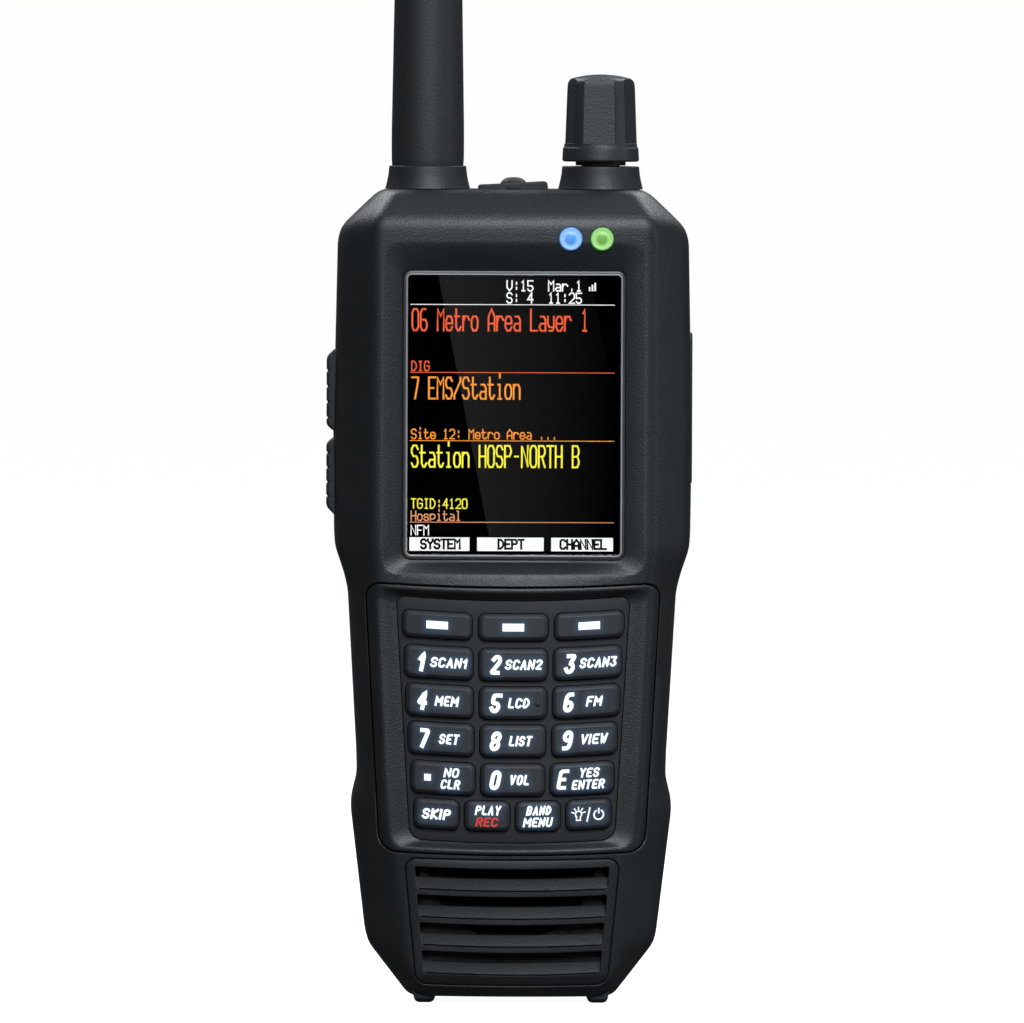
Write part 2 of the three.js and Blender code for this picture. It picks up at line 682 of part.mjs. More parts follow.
// One side key: a cap that stands out of the case, on a ledge that keeps it in.
function sideKey(bottom, top, notchAtTop) {
  const { proud, front, back } = SIDE_KEY;
  const out = leftSide(105) - proud;
  const near = out + 1.5;
  const inner = SIDE_KEY_INNER;
  const [high, low] = notchAtTop ? [near + 0.4, near] : [near, near + 0.4];
  const cap = prism(
    [[inner, bottom], [inner, top], [high, top], [out, top - 1.5], [out, bottom + 1.5], [low, bottom]],
    front,
    back,
  );
  const flange = box(inner, inner + 0.8, front - 0.7, back + 0.7, bottom, top);
  return cap.add(flange);
}
add("side_key_upper", sideKey(SIDE_KEY.middle + GAP / 2, SIDE_KEY.top, false), "rubber");
add("side_key_lower", sideKey(SIDE_KEY.bottom, SIDE_KEY.middle - GAP / 2, true), "rubber");

// The rubber flap over the data and card sockets.
const PORT_OUT = 33.35;
function portCover() {
  const { front, back, bottom, top } = PORT;
  const flap = box(31.6, PORT_OUT, front, back, bottom, top);
  const plug = box(30.7, 31.8, front + 1.6, back - 1.6, bottom + 3, bottom + 11);
  return flap.add(plug);
}
add("port_cover", portCover(), "rubber");
add(
  "usb_socket",
  box(23.5, 30.2, -4.1, -0.3, 98.2, 107.2).subtract(box(24.5, 33, -3.6, -0.8, 98.9, 106.5)),
  "tin",
);

// ---------------------------------------------------------------- boards

add("main_board", box(-22.6, 22.6, -5.6, -4.4, 16, 133.4), "board");
add("radio_shield", box(-20, 15, -4.1, 1, 102, 132), "tin");

// ---------------------------------------------------------------- battery and its cover

function batteryPack() {
  const { halfWidth, bottom, top, floorY } = BAY;
  const outline = { halfWidth: halfWidth - 1.4, bottom: bottom + 2.6, top: top - 4, radius: 2 };
  return prism(plateOutline(straight(outline)), floorY + 0.4, floorY + 12.2);
}
add("battery_pack", batteryPack(), "cell");
add(
  "battery_contact",
  [-6, 0, 6].reduce(
    (made, x) => made.add(box(x - 1.2, x + 1.2, 5, 9, BAY.bottom + 0.8, BAY.bottom + 2.1)),
    box(-8.5, 8.5, 4.4, 9.6, BAY.bottom + GAP, BAY.bottom + 1),
  ),
  "brass",
);

// Height, half-width and outer y of the battery cover, moved in by `inset`.
function coverBody(inset) {
  const stations = [
    [COVER.bottom, 15], [COVER.bottom + 5, COVER.outerY], [36, COVER.outerY], [46, COVER.outerY],
    [76, COVER.outerY], [88, COVER.outerY], [COVER.top, 15.4],
  ];
  const loops = stations.map(([height, y], i) => {
    const z = i === 0 ? height + inset : i === stations.length - 1 ? height - inset : height;
    const half = Math.min(24.4, along(HALF_WIDTH, height) - REAR_BEVEL - 0.6) - inset;
    const depth = y - inset;
    const edge = Math.min(4.5, y - COVER.seatY - 0.5);
    const seat = COVER.seatY - inset;
    const right = [[half, seat], [half, depth - edge], [half - edge, depth]];
    const left = right.map(([x, py]) => [-x, py]).reverse();
    return [...right, ...left].map(([x, py]) => new THREE.Vector3(x, py, z));
  });
  return loft(loops, dropZ);
}
function batteryCover() {
  const seatCut = box(-60, 60, -10, COVER.seatY, -10, 200);
  const latchHole = box(
    -LATCH.halfWidth - GAP, LATCH.halfWidth + GAP,
    14, 30,
    LATCH.bottom - GAP, LATCH.top + LATCH.travel + GAP,
  );
  const hook = box(-11, 11, COVER.seatY - 1.2, COVER.seatY + 2, COVER.top - 1.3, COVER.top - 0.3);
  return coverBody(0).subtract(coverBody(COVER.wall)).subtract(seatCut).subtract(latchHole).add(hook);
}
add("battery_cover", batteryCover(), "case");
// A ribbed slider in the cover, with a wider tongue behind the cover's wall.
function latch() {
  const { halfWidth, bottom, top } = LATCH;
  const y = COVER.outerY;
  const grip = box(-halfWidth, halfWidth, y - 2.6, y + 0.5, bottom, top);
  const tongue = box(-halfWidth - 1.4, halfWidth + 1.4, y - 2.8, y - 2, bottom - 1, top + 1.2);
  return [1, 2.8, 4.6].reduce(
    (made, rise) =>
      made.add(box(-5.5, 5.5, y, y + 0.9, bottom + rise, bottom + rise + 0.8)),
    grip.add(tongue),
  );
}
add("battery_latch", latch(), "case");

// ---------------------------------------------------------------- belt clip

function clipBracket() {
  const y0 = COVER.outerY + GAP;
  const ear = (x0, x1) =>
    box(x0, x1, y0, CLIP.pinY, CLIP.pinZ - 1.3, CLIP.pinZ + 1.3).add(
      alongX(1.3, x0, x1, CLIP.pinY, CLIP.pinZ),
    );
  return box(-10.4, 10.4, y0, y0 + 1, 76, 87.6)
    .add(ear(-10.4, -8.4))
    .add(ear(8.4, 10.4))
    .subtract(alongX(1.1, -12, 12, CLIP.pinY, CLIP.pinZ, 14));
}
add("clip_bracket", clipBracket(), "darkSteel");
add("clip_pin", alongX(0.8, -10.2, 10.2, CLIP.pinY, CLIP.pinZ, 12), "steel");

function beltClip() {
  const { halfWidth, top, bottom, innerY, pinY, pinZ } = CLIP;
  const profile = [
    [innerY, top], [innerY, bottom + 9], [innerY - 2.2, bottom + 3], [innerY - 1.2, bottom],
    [innerY + 0.6, bottom - 0.4], [innerY - 0.4, bottom + 3], [CLIP_OUTER_Y, bottom + 10],
    [CLIP_OUTER_Y, top - 1], [CLIP_OUTER_Y - 0.6, top],
  ];
  const loops = [-halfWidth, halfWidth].map((x) =>
    profile.map(([y, z]) => new THREE.Vector3(x, y, z)),
  );
  const knuckle = (x0, x1) =>
    box(x0, x1, pinY, innerY + 0.5, pinZ - 1.7, pinZ + 1.7).add(alongX(1.7, x0, x1, pinY, pinZ));
  return loft(loops, dropX)
    .add(knuckle(-8, -3.4))
    .add(knuckle(3.4, 8))
    .subtract(alongX(1.1, -8.2, 8.2, pinY, pinZ, 14));
}
add("belt_clip", beltClip(), "case");
add(
  "clip_spring",
  alongX(1.6, -3, 3, CLIP.pinY, CLIP.pinZ, 14).subtract(alongX(1.1, -4, 4, CLIP.pinY, CLIP.pinZ, 12)),
  "steel",
);

// ---------------------------------------------------------------- frame

// The origin is the middle of the object's footprint: its side keys and belt clip reach further
// than the case does, so the case's own middle lies a little off it.
const FRONT_REACH = Math.min(...KEYS.map(({ x, z }) => faceY(x, z))) + MAT_RECESS - KEY_PROUD;
const leftReach = leftSide(105) - SIDE_KEY.proud;
group.position.set(-(leftReach + PORT_OUT) / 2, -(FRONT_REACH + CLIP_OUTER_Y) / 2, 0);

export default group;
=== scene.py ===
"""The looks of a hand-held radio scanner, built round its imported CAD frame.

Shapes are worked out in millimetres in the case's own frame: x = 0 and y = 0 are the middle of the
case, the front faces -Y, and z = 0 is the bottom of the feet. build() moves them into the row frame.
"""
import math
from functools import lru_cache

import bmesh
import bpy
import numpy as np
from mathutils import Matrix, Vector
from mathutils.kdtree import KDTree


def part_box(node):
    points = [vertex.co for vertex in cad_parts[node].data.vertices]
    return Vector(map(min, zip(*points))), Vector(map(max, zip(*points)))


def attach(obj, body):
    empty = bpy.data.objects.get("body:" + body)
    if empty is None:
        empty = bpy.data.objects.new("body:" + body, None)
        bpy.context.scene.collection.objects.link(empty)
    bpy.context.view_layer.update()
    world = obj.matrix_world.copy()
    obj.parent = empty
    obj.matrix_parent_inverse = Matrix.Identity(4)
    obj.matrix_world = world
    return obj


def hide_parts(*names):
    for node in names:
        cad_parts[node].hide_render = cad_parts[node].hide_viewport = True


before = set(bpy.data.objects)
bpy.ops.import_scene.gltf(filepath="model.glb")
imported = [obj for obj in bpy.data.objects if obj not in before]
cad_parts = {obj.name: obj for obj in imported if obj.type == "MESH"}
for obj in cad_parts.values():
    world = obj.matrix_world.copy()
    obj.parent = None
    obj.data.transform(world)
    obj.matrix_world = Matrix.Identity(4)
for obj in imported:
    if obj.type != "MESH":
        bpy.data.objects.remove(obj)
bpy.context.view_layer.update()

# ---------------------------------------------------------------- driving sizes, in millimetres

MM = 0.001
# The case's wall, the plane where its halves meet, and the gap there and round every insert.
WALL = 2.0
PART_Y = 2.5
SEAM = 0.12
# The plane of the back, the bevel at its sides, the front edge of the sides and the case's ends.
BACK_Y = 13.0
REAR_BEVEL = 5.0
SIDE_Y = -7.5
CASE_BOTTOM = 1.2
CASE_TOP = 150.3
# The lens's face, and the y that all upright axes on the top share.
GLASS_Y = -13.9
TOP_Y = -1.0
FOOT_TOP = 2.6
# How far the side keys' flanges stand out to the front and the back of their caps.
FLANGE = 0.7
# The lamps' radius, and the radius at which their colours end.
LAMP_RADIUS = 2.25
LAMP_REACH = 2.3
PORT_FLOOR = 30.35
# A plane in front of everything, where cutting tools start, and the belt clip's pin.
IN_FRONT = -27
PIN_Y, PIN_Z = 22.6, 86

# Rows of (height, value): the case's half width, the x of the ridges where its front bends towards the
# sides, and the y of the front's middle and of those ridges.
HALF_WIDTH = [
    (1.2, 18.8), (11, 26.4), (13, 26.9), (35.5, 29.6), (38, 29.5), (42, 28.5), (46, 28.6),
    (76, 30.3), (79, 31), (84, 32.7), (87, 32.9), (105, 33.1), (141, 32.4), (143.5, 31.6),
    (149, 25.9), (150.3, 24.3),
]
RIDGE = [
    (1.2, 15.5), (5, 19), (24, 21.6), (30, 22.8), (42, 24.2), (75, 25.4), (81, 25.7), (145, 25.7),
    (150.3, 22),
]
FACE_MIDDLE = [
    (1.2, -12.5), (4, -15.4), (28, -16.9), (40, -17.4), (77, -17.4), (84, -15.8), (144.6, -15.8),
    (150.3, -11),
]
FACE_RIDGE = [
    (1.2, -10.5), (4, -13), (28, -13.9), (77, -14.2), (84, -14.8), (144.6, -14.8), (150.3, -10.2),
]

lens_low, lens_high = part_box("display_lens")
CASE_X_M = (lens_low.x + lens_high.x) / 2
CASE_Y_M = lens_low.y - GLASS_Y * MM


def case_box(node):
    """Lowest and highest corner of a CAD node in the case's own frame, in millimetres."""
    low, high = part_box(node)
    shift = Vector((CASE_X_M, CASE_Y_M, 0))
    return (low - shift) / MM, (high - shift) / MM


# ---------------------------------------------------------------- meshes


def add_object(name, data):
    made = bpy.data.objects.new(name, data)
    bpy.context.scene.collection.objects.link(made)
    return made


def build(name, points, faces, angle=32):
    """A mesh object in the row frame from points in the case's frame. Edges over angle stay sharp."""
    points = np.asarray(points, float) * MM + np.array([CASE_X_M, CASE_Y_M, 0])
    mesh = bpy.data.meshes.new(name)
    mesh.from_pydata(points.tolist(), [], [list(map(int, f)) for f in faces])
    made = add_object(name, mesh)
    clean(made, angle)
    return made


def clean(made, angle=32):
    """Merges doubled points, points the faces outwards and sets which edges look sharp."""
    work = bmesh.new()
    work.from_mesh(made.data)
    bmesh.ops.remove_doubles(work, verts=work.verts, dist=0.004 * MM)
    bmesh.ops.dissolve_degenerate(work, edges=work.edges, dist=0.002 * MM)
    bmesh.ops.recalc_face_normals(work, faces=work.faces)
    work.to_mesh(made.data)
    work.free()
    made.data.shade_smooth()
    made.data.set_sharp_from_angle(angle=math.radians(angle))


def skin(loops, closed=False, caps=True):
    """Points and faces of a skin over loops of equal length. closed joins the last loop to the first."""
    count = len(loops[0])
    points = [p for loop in loops for p in loop]
    faces = []
    rows = len(loops)
    for k in range(rows if closed else rows - 1):
        a, b = k * count, ((k + 1) % rows) * count
        for i in range(count):
            j = (i + 1) % count
            faces.append((a + i, a + j, b + j, b + i))
    if caps and not closed:
        faces.append(tuple(range(count)))
        faces.append(tuple(range((rows - 1) * count, rows * count)))
    return points, faces


def solid(name, loops, closed=False, angle=32):
    return build(name, *skin(loops, closed), angle=angle)


def carve(target, tools, operation="DIFFERENCE", angle=32):
    """Cuts or joins the tools with the target, and removes them."""
    for tool in tools:
        step = target.modifiers.new("carve", "BOOLEAN")
        step.operation = operation
        step.object = tool
        step.solver = "MANIFOLD"
    graph = bpy.context.evaluated_depsgraph_get()
    made = bpy.data.meshes.new_from_object(target.evaluated_get(graph))
    target.modifiers.clear()
    old = target.data
    target.data = made
    bpy.data.meshes.remove(old)
    for tool in tools:
        bpy.data.objects.remove(tool)
    clean(target, angle)
    return target


def grid_box(name, x0, x1, y0, y1, z0, z1):
    """A plain box to cut or join with."""
    points = [(x, y, z) for z in (z0, z1) for x, y in ((x0, y0), (x1, y0), (x1, y1), (x0, y1))]
    return build(name, *skin([points[:4], points[4:]]))


def ring(radius, sides):
    """Points of a circle round the origin."""
    turns = [2 * math.pi * i / sides for i in range(sides)]
    return [(radius * math.cos(t), radius * math.sin(t)) for t in turns]


def close_tip(points, faces, start, count, tip):
    """Joins the loop of points that begins at start to a new point."""
    faces += [(len(points), start + i, start + (i + 1) % count) for i in range(count)]
    points.append(tip)


def lathe(name, profile, x, y, sides):
    """A profile of (radius, height) turned about an upright axis. It starts and ends on the axis, or is
    closed."""
    loops = [[(x + u, y + v, z) for u, v in ring(r, sides)] for r, z in profile]
    if profile[0][0] > 0:
        return solid(name, loops, closed=True)
    points, faces = skin(loops[1:-1], caps=False)
    close_tip(points, faces, 0, sides, (x, y, profile[0][1]))
    close_tip(points, faces, (len(loops) - 3) * sides, sides, (x, y, profile[-1][1]))
    return build(name, points, faces)


def along_y(name, radius, y0, y1, x, z):
    """A cylinder along Y."""
    return solid(name, [[(x + u, y, z + v) for u, v in ring(radius, 48)] for y in (y0, y1)])


def along_x(name, radius, x0, x1, y, z, sides):
    """A cylinder along X."""
    return solid(name, [[(x, y + u, z + v) for u, v in ring(radius, sides)] for x in (x0, x1)])


def arc(start, corner, end, steps=6):
    """Points of a curve from start to end that bends towards the corner."""
    start, corner, end = (np.array(p, float) for p in (start, corner, end))
    shares = [i / steps for i in range(steps + 1)]
    return [(1 - t) ** 2 * start + 2 * t * (1 - t) * corner + t * t * end for t in shares]


def towards(a, b, length):
    """The point at that length from a towards b, at most half way."""
    a, b = np.array(a, float), np.array(b, float)
    reach = np.linalg.norm(b - a)
    return a + (b - a) * min(0.5, length / max(reach, 1e-9))


def softened(corners, radii, steps=6, closed=False):
    """A polyline with each inner corner bent, over its radius, into a curve."""
    points = []
    count = len(corners)
    for i, (here, radius) in enumerate(zip(corners, radii)):
        if not closed and i in (0, count - 1):
            points.append(np.array(here, float))
            continue
        before, after = corners[i - 1], corners[(i + 1) % count]
        points += arc(towards(here, before, radius), here, towards(here, after, radius), steps)
    return points


# ---------------------------------------------------------------- the case's surface


def along(table, z):
    """Straight-line value of a table of (height, value) rows, carried on past its ends."""
    heights, values = zip(*table)
    if z < heights[0]:
        return values[0] + (z - heights[0]) * (values[1] - values[0]) / (heights[1] - heights[0])
    if z > heights[-1]:
        return values[-1] + (z - heights[-1]) * (values[-1] - values[-2]) / (heights[-1] - heights[-2])
    return float(np.interp(z, heights, values))


def soft_along(table, z, reach):
    """The same, with the table's corners rounded over the reach."""
    return sum(along(table, z + reach * (k / 4 - 1)) for k in range(9)) / 9


@lru_cache(maxsize=None)
def half_section(z, inset=0.0, front_inset=0.0):
    """Right half of the case's outline at height z: the front, and the rear, which meet at PART_Y."""
    half = soft_along(HALF_WIDTH, z, 1.0) - inset
    ridge = soft_along(RIDGE, z, 2.0) - 0.7 * inset
    middle = soft_along(FACE_MIDDLE, z, 1.2) + inset + front_inset
    edge = soft_along(FACE_RIDGE, z, 1.2) + inset + front_inset
    side = SIDE_Y + 0.5 * inset + 0.6 * front_inset
    back = BACK_Y - inset

    def face(share):
        return (ridge * share, middle + (edge - middle) * share * share)

    front = [face(s) for s in np.linspace(0, 0.88, 20)]
    bevel_start = towards((ridge, edge), (half, side), 1.5)
    front += arc(face(0.94), (ridge, edge), bevel_start, 6)
    front += arc(towards((half, side), (ridge, edge), 2.4), (half, side), (half, side + 2.4), 6)
    front += [(half, y) for y in np.linspace(side + 3.2, PART_Y, 5)]
    rear = [(half, y) for y in np.linspace(PART_Y, back - REAR_BEVEL - 1.8, 4)]
    low, high = (half, back - REAR_BEVEL), (half - REAR_BEVEL, back)
    rear += arc((half, back - REAR_BEVEL - 1.6), low, towards(low, high, 1.8), 5)
    rear += arc(towards(high, low, 1.8), high, (half - REAR_BEVEL - 1.6, back), 5)
    rear += [(x, back) for x in np.linspace(half - REAR_BEVEL - 2.5, 0, 8)]
    return np.array(front, float), np.array(rear, float)


def face_y(x, z):
    """y of the case's front surface at x and height z."""
    front, _ = half_section(round(z, 2))
    reach = int(np.argmax(front[:, 0])) + 1
    return float(np.interp(abs(x), front[:reach, 0], front[:reach, 1]))


def levels(bottom, top, radius):
    """Heights from bottom to top, each with its inset, rounded over the radius at both ends."""
    turns = [math.pi / 2 * k / 5 for k in range(6)]
    bend = [(radius * (1 - math.sin(t)), radius * (1 - math.cos(t))) for t in turns]
    count = max(2, int(top - bottom - 2 * radius))
    middle = [(z, 0.0) for z in np.linspace(bottom + radius, top - radius, count)[1:-1]]
    low = [(bottom + rise, inset) for rise, inset in reversed(bend)]
    return low + middle + [(top - rise, inset) for rise, inset in bend]


def half_case(name, part, bottom, top, radius, inset=0.0, front_inset=0.0, overlap=0.0):
    """One half of the case as a solid: part 0 is the front and part 1 the rear."""
    sign = 1 - 2 * part
    loops = []
    for z, extra in levels(bottom, top, radius):
        line = half_section(round(z, 3), inset + extra, front_inset)[part][::sign].copy()
        line[-1, 1] = PART_Y - sign * (SEAM / 2 - overlap)
        loop = np.vstack([line[::-1], line[1:] * (-1, 1)])
        loops.append([(x, y, z) for x, y in loop])
    return solid(name, loops)


# ---------------------------------------------------------------- outlines on the front


def round_corners(corners, radii, edge=26, bend=7):
    """A polygon with round corners: bend points round each corner, and edge points along each side."""
    bends = []
    for i, (here, radius) in enumerate(zip(corners, radii)):
        here = Vector(here)
        sides = (Vector(corners[j % len(corners)]) - here for j in (i - 1, i + 1))
        back, onward = (side.normalized() for side in sides)
        half = back.angle(onward) / 2
        centre = here + (back + onward).normalized() * radius / math.sin(half)
        start = here + back * radius / math.tan(half) - centre
        first = math.atan2(start.y, start.x)
        turns = np.linspace(first, first + math.pi - 2 * half, bend)
        bends.append([(centre.x + radius * math.cos(t), centre.y + radius * math.sin(t)) for t in turns])
    loop = []
    for points, following in zip(bends, bends[1:] + bends[:1]):
        end, start = Vector(points[-1]), Vector(following[0])
        loop += points + [tuple(end.lerp(start, s)) for s in np.linspace(0, 1, edge + 2)[1:-1]]
    return loop


def plate(top, bottom, top_half, bottom_half, top_radius, bottom_radius, bow=0.0):
    """A function that gives the outline of a front plate, in x and z, grown by a distance."""

    def outline(grow=0.0):
        corners = [
            (-bottom_half - grow, bottom - grow), (bottom_half + grow, bottom - grow),
            (top_half + grow, top + grow), (-top_half - grow, top + grow),
        ]
        radii = [max(0.1, r + grow) for r in (bottom_radius, bottom_radius, top_radius, top_radius)]
        width = max(top_half, bottom_half) + grow
        return [(x, z - bow * (1 - (x / width) ** 2)) for x, z in round_corners(corners, radii)]

    return outline


def between(first, second, share):
    """The outline part of the way from one outline to another."""
    return [(a + (c - a) * share, b + (d - b) * share) for (a, b), (c, d) in zip(first, second)]


def lay(points, depth=0.0, flat=None):
    """A loop over points in x and z, at a depth below the case's surface or on the plane y = flat."""
    return [(x, face_y(x, z) + depth if flat is None else flat, z) for x, z in points]


def shrunk(points, share):
    """The outline drawn in towards its middle."""
    heights = [z for _, z in points]
    cx, cz = np.mean([x for x, _ in points]), (max(heights) + min(heights)) / 2
    return [(cx + (x - cx) * share, cz + (z - cz) * share) for x, z in points]


def slab(name, outline, rows, back, shares=(0.85, 0.66, 0.45, 0.22), angle=32):
    """A plate whose face follows the case's surface. rows are (grow, depth) from the face's edge to its
    rim. back is the depth of its back, or ("flat", y). shares are the face's rings, as parts of it."""
    edge, rim = outline(rows[0][0]), outline(rows[-1][0])
    count = len(rim)
    loops = [lay(shrunk(edge, s), rows[0][1]) for s in reversed(shares)]
    loops += [lay(outline(grow), depth) for grow, depth in rows]
    ends = [(loops[0], rows[0][1], 0)]
    if isinstance(back, tuple):
        loops.append(lay(rim, flat=back[1]))
    else:
        loops += [lay(rim, back)] + [lay(shrunk(rim, s), back) for s in shares]
        ends.insert(0, (loops[-1], back, (len(loops) - 1) * count))
    points, faces = skin(loops, caps=False)
    if isinstance(back, tuple):
        faces.append(tuple(range(len(points) - count, len(points))))
    for loop, depth, start in ends:
        x, _, z = np.mean(loop, axis=0)
        close_tip(points, faces, start, count, (x, face_y(x, z) + depth, z))
    return build(name, points, faces, angle)


def stack(name, outline, rows, **more):
    """A solid over rows of (grow, y): the outline grown by a distance, on the plane at y."""
    return solid(name, [lay(outline(grow), flat=y) for grow, y in rows], **more)


BOW = 0.9
DISPLAY = plate(135.4, 82.1, 20.5, 20.5, 1.5, 1.5)
DISH = plate(140.6, 79.3, 24.3, 24.3, 3.2, 3.0)
BEZEL = plate(77.75, 28.55, 27.2, 24.4, 2.6, 3.2, bow=BOW)
MAT = plate(75.4, 30.7, 21.6, 18.9, 1.6, 2.4, bow=BOW)
GRILLE = plate(26.95, 3.8, 19.85, 17.6, 2.0, 2.2, bow=0.35)

# ---------------------------------------------------------------- materials


def set_inputs(node, values):
    """Sets a node's inputs by their names, in which underscores may stand for blanks."""
    for key, value in values.items():
        node.inputs[key.replace("_", " ")].default_value = value


def material(name, **values):
    """A new material and its shader, with the shader's named inputs set."""
    made = bpy.data.materials.new(name)
    made.use_nodes = True
    shader = made.node_tree.nodes["Principled BSDF"]
    set_inputs(shader, values)
    return made, shader


def feed(source, node, name):
    """Links a source to a node's named input."""
    source.id_data.links.new(source, node.inputs[name])


def add_node(source, kind, name, **values):
    """A new node, with the source linked to its named input and other inputs set."""
    made = source.id_data.nodes.new(f"ShaderNode{kind}")
    set_inputs(made, values)
    feed(source, made, name)
    return made


def coordinates(shader, kind):
    """A texture coordinate of the shader's object."""
    return shader.id_data.nodes.new("ShaderNodeTexCoord").outputs[kind]


def noise(shader, scale, detail=2.0):
    """A noise texture over the object's own coordinates, with scale in features per millimetre."""
    nodes = shader.id_data.nodes
    where = nodes.get("where") or nodes.new("ShaderNodeTexCoord")
    where.name = "where"
    source = where.outputs["Object"]
    return add_node(source, "TexNoise", "Vector", Scale=scale / MM, Detail=detail).outputs["Fac"]


def ramp(source, low, high, start=0.3, end=0.7):
    """The source's value as a colour from low to high."""
    made = add_node(source, "ValToRGB", "Fac")
    stops = made.color_ramp.elements
    stops[0].position, stops[1].position = start, end
    stops[0].color, stops[1].color = (*low, 1), (*high, 1)
    return made.outputs["Color"]


def spread(source, low, high):
    """The source's value, from 0 to 1, as a number from low to high."""
    return add_node(source, "MapRange", "Value", To_Min=low, To_Max=high).outputs["Result"]


def bump(shader, height, distance):
    """Roughens the shader's surface by a height, over a distance in millimetres."""
    feed(add_node(height, "Bump", "Height", Distance=distance * MM).outputs["Normal"], shader, "Normal")


def tint(shader, source, low, high, *stops):
    """Colours the shader's surface from low to high by the source's value."""
    feed(ramp(source, low, high, *stops), shader, "Base Color")


def moulded(name, dark, light, roughness, grain, depth):
    """Moulded plastic or rubber: a fine grain, with slow changes of colour and gloss."""
    made, shader = material(name)
    slow, speckle = noise(shader, 0.09, 3), noise(shader, grain * 1.7, 1)
    blend = add_node(slow, "Mix", "A", Factor=0.45)
    feed(speckle, blend, "B")
    tint(shader, blend.outputs["Result"], dark, light, 0.36, 0.64)
    feed(spread(speckle, *roughness), shader, "Roughness")
    bump(shader, noise(shader, grain), depth)
    return made


def glowing(name, colour, strength=0.95):
    """A lit surface whose brightness has a faint unevenness."""
    half = (*[c * 0.5 for c in colour], 1)
    made, shader = material(name, Roughness=0.4, Emission_Color=(*colour, 1), Base_Color=half)
    uneven = spread(noise(shader, 2.5, 1), strength * 0.94, strength * 1.06)
    feed(uneven, shader, "Emission Strength")
    return made


def metal(name, colour, roughness, grain=6.0):
    """Bare metal with a fine unevenness in its colour and gloss."""
    made, shader = material(name, Metallic=1.0)
    grit = noise(shader, grain)
    tint(shader, grit, tuple(c * 0.8 for c in colour), colour)
    feed(spread(grit, roughness * 0.8, roughness * 1.2), shader, "Roughness")
    bump(shader, grit, 0.004)
    return made


# Each moulded material's dark and light colour, range of roughness, grain per millimetre and its depth.
MOULDED = {
    "case_plastic": ((0.0068, 0.0086, 0.0102), (0.0112, 0.0136, 0.0158), (0.38, 0.54), 3.3, 0.068),
    "collar_plastic": ((0.0075, 0.0092, 0.0108), (0.0112, 0.0134, 0.0152), (0.46, 0.6), 3.4, 0.05),
    "antenna_rubber": ((0.0082, 0.0096, 0.011), (0.0115, 0.0134, 0.015), (0.5, 0.62), 2.4, 0.05),
    # The knob's rubber is its own dark colour made lighter: partly painted light, standing in for the light
    # on the knob's front.
    "knob_rubber": ((0.013, 0.0155, 0.0178), (0.019, 0.022, 0.025), (0.42, 0.56), 2.4, 0.055),
    "cover_rubber": ((0.006, 0.007, 0.0078), (0.009, 0.0102, 0.0112), (0.58, 0.74), 2.6, 0.04),
    "keypad_rubber": ((0.012, 0.0142, 0.0185), (0.0168, 0.0192, 0.0245), (0.52, 0.64), 3.4, 0.03),
    # The mat's rubber is the keys' rubber made darker: painted shade for the mat, which lies low under the
    # bezel and between the keys.
    "mat_rubber_shaded": ((0.0075, 0.009, 0.0115), (0.0105, 0.0122, 0.0158), (0.62, 0.76), 3.4, 0.03),
    "frame_plastic": ((0.028, 0.029, 0.031), (0.04, 0.041, 0.043), (0.3, 0.4), 5.0, 0.004),
    "frame_bead_grey": ((0.26, 0.26, 0.265), (0.32, 0.32, 0.325), (0.28, 0.36), 5.0, 0.004),
    "circuit_board": ((0.010, 0.055, 0.022), (0.02, 0.09, 0.035), (0.3, 0.45), 1.2, 0.01),
    "battery_wrap": ((0.02, 0.05, 0.11), (0.03, 0.065, 0.14), (0.25, 0.35), 0.8, 0.01),
    "speaker_cone": ((0.004, 0.0035, 0.003), (0.007, 0.006, 0.005), (0.7, 0.9), 4.0, 0.04),
}
LOOKS = {name: moulded(name, *values) for name, values in MOULDED.items()}
CASE, FLAP = LOOKS["case_plastic"], LOOKS["cover_rubber"]
STEEL = metal("steel", (0.55, 0.55, 0.57), 0.32)
BLACK_STEEL = metal("black_steel", (0.05, 0.05, 0.055), 0.42)
BRASS = metal("brass", (0.68, 0.48, 0.2), 0.3)
TIN = metal("tinplate", (0.6, 0.6, 0.61), 0.28, 3.0)


def key_rubber():
    """The keys' rubber, lit blue by the light that leaks round each legend."""
    made = LOOKS["keypad_rubber"].copy()
    made.name = "key_rubber"
    shader = made.node_tree.nodes["Principled BSDF"]
    leak = made.node_tree.nodes.new("ShaderNodeAttribute")
    leak.attribute_name = "glow"
    feed(spread(leak.outputs["Fac"], 0.0, 0.12), shader, "Emission Strength")
    set_inputs(shader, {"Emission Color": (0.10, 0.30, 0.62, 1)})
    return made


def lamp_lens(name, place, rim, ring_colour, heart):
    """A lit lens with a darker rim, a bright ring and a deeper heart, round a point in x and z."""
    made, shader = material(name, Roughness=0.42)
    source = coordinates(shader, "Object")
    middle = (CASE_X_M + place[0] * MM, 0, place[1] * MM)
    widen = (1 / (LAMP_REACH * MM), 0, 1 / (LAMP_REACH * MM))
    for operation, value in (("SUBTRACT", middle), ("MULTIPLY", widen), ("LENGTH", None)):
        step = add_node(source, "VectorMath", 0)
        step.operation = operation
        if value:
            step.inputs[1].default_value = value
        source = step.outputs["Value" if operation == "LENGTH" else "Vector"]
    bands = add_node(source, "ValToRGB", "Fac")
    stops = bands.color_ramp.elements
    stops[0].position, stops[0].color = 0.34, (*heart, 1)
    stops[1].position, stops[1].color = 0.94, (*rim, 1)
    for at in (0.5, 0.82):
        stops.new(at).color = (*ring_colour, 1)
    for name in ("Base Color", "Emission Color"):
        feed(bands.outputs["Color"], shader, name)
    feed(spread(noise(shader, 1.5, 1), 0.41, 0.48), shader, "Emission Strength")
    return made


